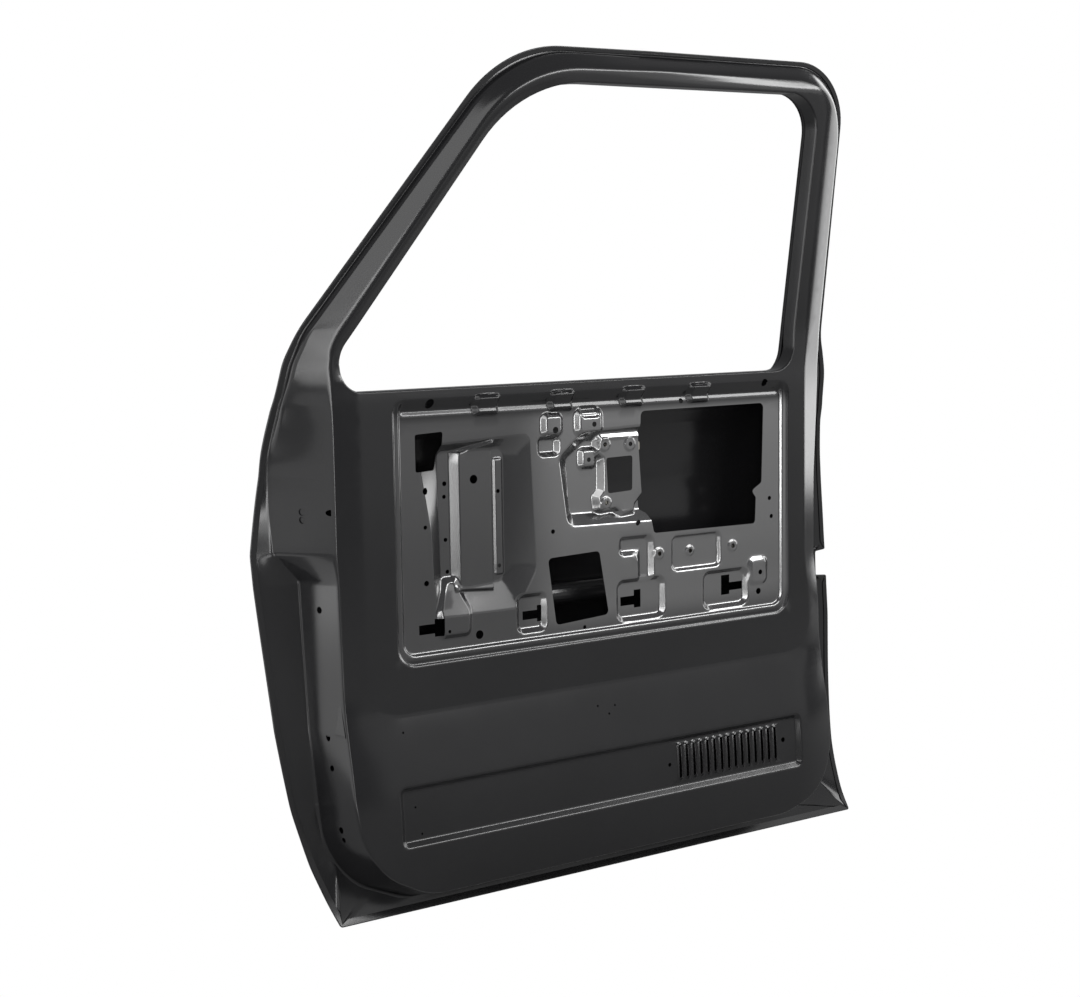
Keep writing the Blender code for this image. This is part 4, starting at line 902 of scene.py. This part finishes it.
skin_corners = []
for x, z, radius in grow(WINDOW, 2.5):
    skin_corners.append((x, z - SKIN_SILL_DROP if z < SILL_Z + 10 else z, radius))
skin_window = np.array(outline(skin_corners, 20.0))
handle_hole = circle(*HANDLE_HOLE)
skin_flat, skin_faces = fill_outline([tuple(p) for p in hem_loop],
                                     [[tuple(p) for p in skin_window], handle_hole], [], 24.0)
fold = (PANEL_GAUGE + 2 * HEM_GAP + 2 * SKIN_GAUGE) * skin_tilt(edge_loop[:, 0], edge_loop[:, 1])
hem_skin_y = skin_depth(hem_loop[:, 0], hem_loop[:, 1])
edge_skin_y = skin_depth(edge_loop[:, 0], edge_loop[:, 1])
hem_corners = [raised(hem_loop, hem_skin_y), raised(edge_loop, edge_skin_y),
               raised(edge_loop, edge_skin_y - fold), raised(hem_loop, hem_skin_y - fold)]
hem_rows = profile_rows(hem_corners, [HEM_BEND, HEM_BEND], 4)
skin_window_y = skin_depth(skin_window[:, 0], skin_window[:, 1])
skin_lip = [raised(skin_window, skin_window_y), raised(skin_window, skin_window_y - SKIN_WINDOW_LIP)]
skin_shell = Shell()
skin_shell.field(skin_flat, skin_faces, skin_depth, 1)
skin_shell.lattice(hem_rows, -1)
skin_shell.lattice(np.array(skin_lip), 1)
outer_skin = skin_shell.finish("outer_skin_pressing", SKIN_GAUGE)
skin_coat = electrocoat("black_electrocoat_skin")
outer_skin.data.materials.append(skin_coat)
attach(outer_skin, "root")
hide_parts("outer_skin")


# Roller marks along the roof hem.
# The hem is closed by a ribbed roller once the sheets are together, which leaves
# a row of small pips in the folded edge over the glass.

PIP_SIZES = {"Pip pitch": 5.4 * MM, "Pip radius": 1.8 * MM, "Pip rise": 1.3 * MM}
PIP_INSET = 4.6
PIP_START_X = 414.0
PIP_END_X = 558.0
PIP_LOW_Z = 660.0

pip_line = moved_in(edge_loop, PIP_INSET)
over_glass = (edge_loop[:, 1] > PIP_LOW_Z) & (edge_loop[:, 0] > PIP_START_X) & (edge_loop[:, 0] < PIP_END_X)
pip_y = skin_depth(pip_line[:, 0], pip_line[:, 1]) - fold
pip_path = raised(pip_line, pip_y)[over_glass] * MM + np.array(DATUM)
pip_mesh = bpy.data.meshes.new("roof_hem_path")
pip_mesh.from_pydata(pip_path.tolist(), [(i, i + 1) for i in range(len(pip_path) - 1)], [])
pip_guide = bpy.data.objects.new("roof_hem_path", pip_mesh)
scene_objects = bpy.context.scene.collection.objects
scene_objects.link(pip_guide)

pip_tree = bpy.data.node_groups.new("roof_hem_pips", "GeometryNodeTree")
pip_sockets = pip_tree.interface
pip_sockets.new_socket("Geometry", in_out="INPUT", socket_type="NodeSocketGeometry")
pip_inputs = {label: pip_sockets.new_socket(label, in_out="INPUT", socket_type="NodeSocketFloat").identifier
              for label in PIP_SIZES}
pip_sockets.new_socket("Geometry", in_out="OUTPUT", socket_type="NodeSocketGeometry")
pip_nodes = pip_tree.nodes
pip_links = pip_tree.links
pip_in = pip_nodes.new("NodeGroupInput")
pip_curve = pip_nodes.new("GeometryNodeMeshToCurve")
pip_spacing = pip_nodes.new("GeometryNodeResampleCurve")
pip_spacing.mode = "LENGTH"
pip_ball = pip_nodes.new("GeometryNodeMeshUVSphere")
pip_ball.inputs["Segments"].default_value = 10
pip_ball.inputs["Rings"].default_value = 6
pip_ball.inputs["Radius"].default_value = 1.0
pip_size = pip_nodes.new("ShaderNodeCombineXYZ")
pip_copies = pip_nodes.new("GeometryNodeInstanceOnPoints")
pip_real = pip_nodes.new("GeometryNodeRealizeInstances")
pip_smooth = pip_nodes.new("GeometryNodeSetShadeSmooth")
pip_coat = pip_nodes.new("GeometryNodeSetMaterial")
pip_coat.inputs["Material"].default_value = skin_coat
pip_out = pip_nodes.new("NodeGroupOutput")
pip_links.new(pip_in.outputs["Geometry"], pip_curve.inputs["Mesh"])
pip_links.new(pip_curve.outputs["Curve"], pip_spacing.inputs["Curve"])
pip_links.new(pip_in.outputs["Pip pitch"], pip_spacing.inputs["Length"])
pip_links.new(pip_spacing.outputs["Curve"], pip_copies.inputs["Points"])
pip_links.new(pip_ball.outputs["Mesh"], pip_copies.inputs["Instance"])
pip_links.new(pip_in.outputs["Pip radius"], pip_size.inputs["X"])
pip_links.new(pip_in.outputs["Pip rise"], pip_size.inputs["Y"])
pip_links.new(pip_in.outputs["Pip radius"], pip_size.inputs["Z"])
pip_links.new(pip_size.outputs["Vector"], pip_copies.inputs["Scale"])
pip_links.new(pip_copies.outputs["Instances"], pip_smooth.inputs["Geometry"])
pip_links.new(pip_smooth.outputs["Geometry"], pip_real.inputs["Geometry"])
pip_links.new(pip_real.outputs["Geometry"], pip_coat.inputs["Geometry"])
pip_links.new(pip_coat.outputs["Geometry"], pip_out.inputs["Geometry"])

pip_maker = pip_guide.modifiers.new("roof_hem_pips", "NODES")
pip_maker.node_group = pip_tree
for label, size in PIP_SIZES.items():
    pip_maker[pip_inputs[label]] = size
bpy.context.view_layer.update()
pip_result = bpy.data.meshes.new_from_object(pip_guide.evaluated_get(bpy.context.evaluated_depsgraph_get()))
bpy.data.objects.remove(pip_guide)
roof_hem_pips = bpy.data.objects.new("roof_hem_pips", pip_result)
scene_objects.link(roof_hem_pips)
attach(roof_hem_pips, "root")


# Rails, beam, brackets and run channels between the two sheets.
# Rolled or folded strip steel, welded in before the shell is dipped, so that
# they carry the same black coat, a little duller where it drains away.

BLACK_PARTS = ["belt_rail_inner", "belt_rail_outer", "side_impact_beam", "beam_bracket_front",
               "beam_bracket_rear", "glass_run_front", "glass_run_rear", "hinge_plate_upper",
               "hinge_plate_lower", "latch_plate"]
structure_coat = electrocoat("black_electrocoat_structure", roughness=0.24)
for node in BLACK_PARTS:
    part = frame["nodes"][node]
    part.data.materials.clear()
    part.data.materials.append(structure_coat)


# Weld nuts, tapping plates and damping pads.
# The threaded pieces are yellow zinc plated steel, held by the panel; the pads are
# bitumen sheet, melted on to the skin in the paint oven so that they lose gloss.

zinc = bpy.data.materials.new("zinc_plate")
zinc.use_nodes = True
zinc_nodes = zinc.node_tree.nodes
zinc_links = zinc.node_tree.links
zinc_place = zinc_nodes.new("ShaderNodeTexCoord")
zinc_cloud = zinc_nodes.new("ShaderNodeTexNoise")
zinc_cloud.inputs["Scale"].default_value = 160.0
zinc_links.new(zinc_place.outputs["Object"], zinc_cloud.inputs["Vector"])
zinc_tint = zinc_nodes.new("ShaderNodeMix")
zinc_tint.data_type = "RGBA"
zinc_tint.inputs[6].default_value = (0.42, 0.40, 0.34, 1)
zinc_tint.inputs[7].default_value = (0.62, 0.60, 0.55, 1)
zinc_links.new(zinc_cloud.outputs["Fac"], zinc_tint.inputs["Factor"])
zinc_links.new(zinc_tint.outputs[2], zinc_nodes["Principled BSDF"].inputs["Base Color"])
zinc_nodes["Principled BSDF"].inputs["Metallic"].default_value = 1.0
zinc_nodes["Principled BSDF"].inputs["Roughness"].default_value = 0.32

bitumen = bpy.data.materials.new("bitumen_pad")
bitumen.use_nodes = True
bitumen_nodes = bitumen.node_tree.nodes
bitumen_links = bitumen.node_tree.links
bitumen_place = bitumen_nodes.new("ShaderNodeTexCoord")
bitumen_grain = bitumen_nodes.new("ShaderNodeTexNoise")
bitumen_grain.inputs["Scale"].default_value = 90.0
bitumen_grain.inputs["Detail"].default_value = 6.0
bitumen_links.new(bitumen_place.outputs["Object"], bitumen_grain.inputs["Vector"])
bitumen_bump = bitumen_nodes.new("ShaderNodeBump")
bitumen_bump.inputs["Strength"].default_value = 0.4
bitumen_bump.inputs["Distance"].default_value = 0.001
bitumen_links.new(bitumen_grain.outputs["Fac"], bitumen_bump.inputs["Height"])
bitumen_links.new(bitumen_bump.outputs["Normal"], bitumen_nodes["Principled BSDF"].inputs["Normal"])
bitumen_nodes["Principled BSDF"].inputs["Base Color"].default_value = (0.012, 0.012, 0.013, 1)
bitumen_nodes["Principled BSDF"].inputs["Roughness"].default_value = 0.62

for node, part in frame["nodes"].items():
    if "_nut_" in node or "tapping" in node:
        surface = zinc
    elif "damping" in node:
        surface = bitumen
    else:
        continue
    part.data.materials.clear()
    part.data.materials.append(surface)


# Floor, light and camera.
# The door stood between long soft boxes in a dim studio and was cut out on
# white. The black coat mirrors the boxes in its slopes and rounded edges.

ground = bpy.data.meshes.new("studio_floor")
low_z = cad_bounds[0][2] - 0.0005
ground.from_pydata([(-6, -6, low_z), (6, -6, low_z), (6, 6, low_z), (-6, 6, low_z)], [], [(0, 1, 2, 3)])
studio_floor = bpy.data.objects.new("studio_floor", ground)
bpy.context.scene.collection.objects.link(studio_floor)
floor_paint = bpy.data.materials.new("pale_floor")
floor_paint.use_nodes = True
floor_nodes = floor_paint.node_tree.nodes
floor_links = floor_paint.node_tree.links
floor_shader = floor_nodes["Principled BSDF"]
floor_shader.inputs["Base Color"].default_value = (0.3, 0.3, 0.3, 1)
floor_shader.inputs["Roughness"].default_value = 0.9
floor_white = floor_nodes.new("ShaderNodeEmission")
floor_white.inputs["Color"].default_value = (1, 1, 1, 1)
floor_ray = floor_nodes.new("ShaderNodeLightPath")
floor_mix = floor_nodes.new("ShaderNodeMixShader")
floor_links.new(floor_ray.outputs["Is Camera Ray"], floor_mix.inputs[0])
floor_links.new(floor_shader.outputs[0], floor_mix.inputs[1])
floor_links.new(floor_white.outputs[0], floor_mix.inputs[2])
floor_links.new(floor_mix.outputs[0], floor_nodes["Material Output"].inputs["Surface"])
ground.materials.append(floor_paint)

scene = bpy.context.scene
studio = bpy.data.worlds.new("studio")
studio.use_nodes = True
world_nodes = studio.node_tree.nodes
world_links = studio.node_tree.links
wall_light = world_nodes["Background"]
wall_light.inputs["Color"].default_value = (0.9, 0.9, 0.92, 1)
wall_light.inputs["Strength"].default_value = 0.22
backdrop = world_nodes.new("ShaderNodeBackground")
backdrop.inputs["Color"].default_value = (1, 1, 1, 1)
world_ray = world_nodes.new("ShaderNodeLightPath")
world_mix = world_nodes.new("ShaderNodeMixShader")
world_links.new(world_ray.outputs["Is Camera Ray"], world_mix.inputs[0])
world_links.new(wall_light.outputs[0], world_mix.inputs[1])
world_links.new(backdrop.outputs[0], world_mix.inputs[2])
world_links.new(world_mix.outputs[0], world_nodes["World Output"].inputs["Surface"])
scene.world = studio

BOX_LIGHTS = [
    # name, place, aim, width, height, radiance
    ("strip_box", (2.12, -2.49, 2.0), (0.45, 0.0, 0.0), 3.0, 0.45, 12.0),
    ("side_box", (3.6, 0.1, 0.9), (0.5, 0.0, 0.1), 2.4, 2.6, 3.2),
    ("right_wall", (2.6, -3.2, 0.2), (0.45, 0.0, 0.1), 3.4, 1.8, 0.38),
    ("right_glow", (2.3, -2.9, 1.9), (0.45, 0.0, -0.2), 3.4, 2.0, 1.0),
    ("left_wall", (-1.8, 1.1, 0.2), (-0.1, 0.0, 0.1), 2.2, 1.8, 2.2),
    ("front_left_wall", (-2.6, -1.0, 0.6), (0.0, 0.0, 0.1), 2.6, 3.2, 0.85),
    ("edge_strip", (-1.55, -3.0, 0.6), (0.0, 0.0, 0.0), 0.4, 3.0, 8.0),
    ("pillar_glow", (-1.9, -2.7, 0.3), (0.0, 0.0, 0.2), 0.45, 1.8, 3.2),
    ("floor_glow", (-0.8, -0.9, -0.59), (-0.8, -0.9, 1.0), 0.6, 1.0, 3.0),
    ("floor_glow_left", (-1.4, 0.7, -0.59), (-1.4, 0.7, 1.0), 1.6, 1.6, 0.9),
    ("left_glow", (-1.7, -1.5, 2.6), (0.2, 0.0, 0.3), 2.4, 2.2, 2.2),
]
for name, place, aim, wide, tall, radiance in BOX_LIGHTS:
    light = bpy.data.lights.new(name, "AREA")
    light.shape = "RECTANGLE"
    light.size = wide
    light.size_y = tall
    light.energy = radiance * math.pi * wide * tall
    lamp = bpy.data.objects.new(name, light)
    facing = (Vector(aim) - Vector(place)).to_track_quat("-Z", "Y").to_matrix().to_4x4()
    lamp.matrix_world = Matrix.Translation(place) @ facing
    scene.collection.objects.link(lamp)

camera_data = bpy.data.cameras.new("photo_camera")
camera_data.lens = 60.0
camera_data.sensor_width = 36.0
camera = bpy.data.objects.new("photo_camera", camera_data)
right = Vector((0.82933, -0.55854, -0.01550))
up = Vector((0.07641, 0.08589, 0.99337))
ahead = Vector((0.55350, 0.82502, -0.11391))
camera_turn = Matrix((right, up, -ahead)).transposed().to_4x4()
camera.matrix_world = Matrix.Translation((-1.11517, -2.25042, 0.30835)) @ camera_turn
scene.collection.objects.link(camera)
scene.camera = camera
scene.view_settings.view_transform = "Standard"
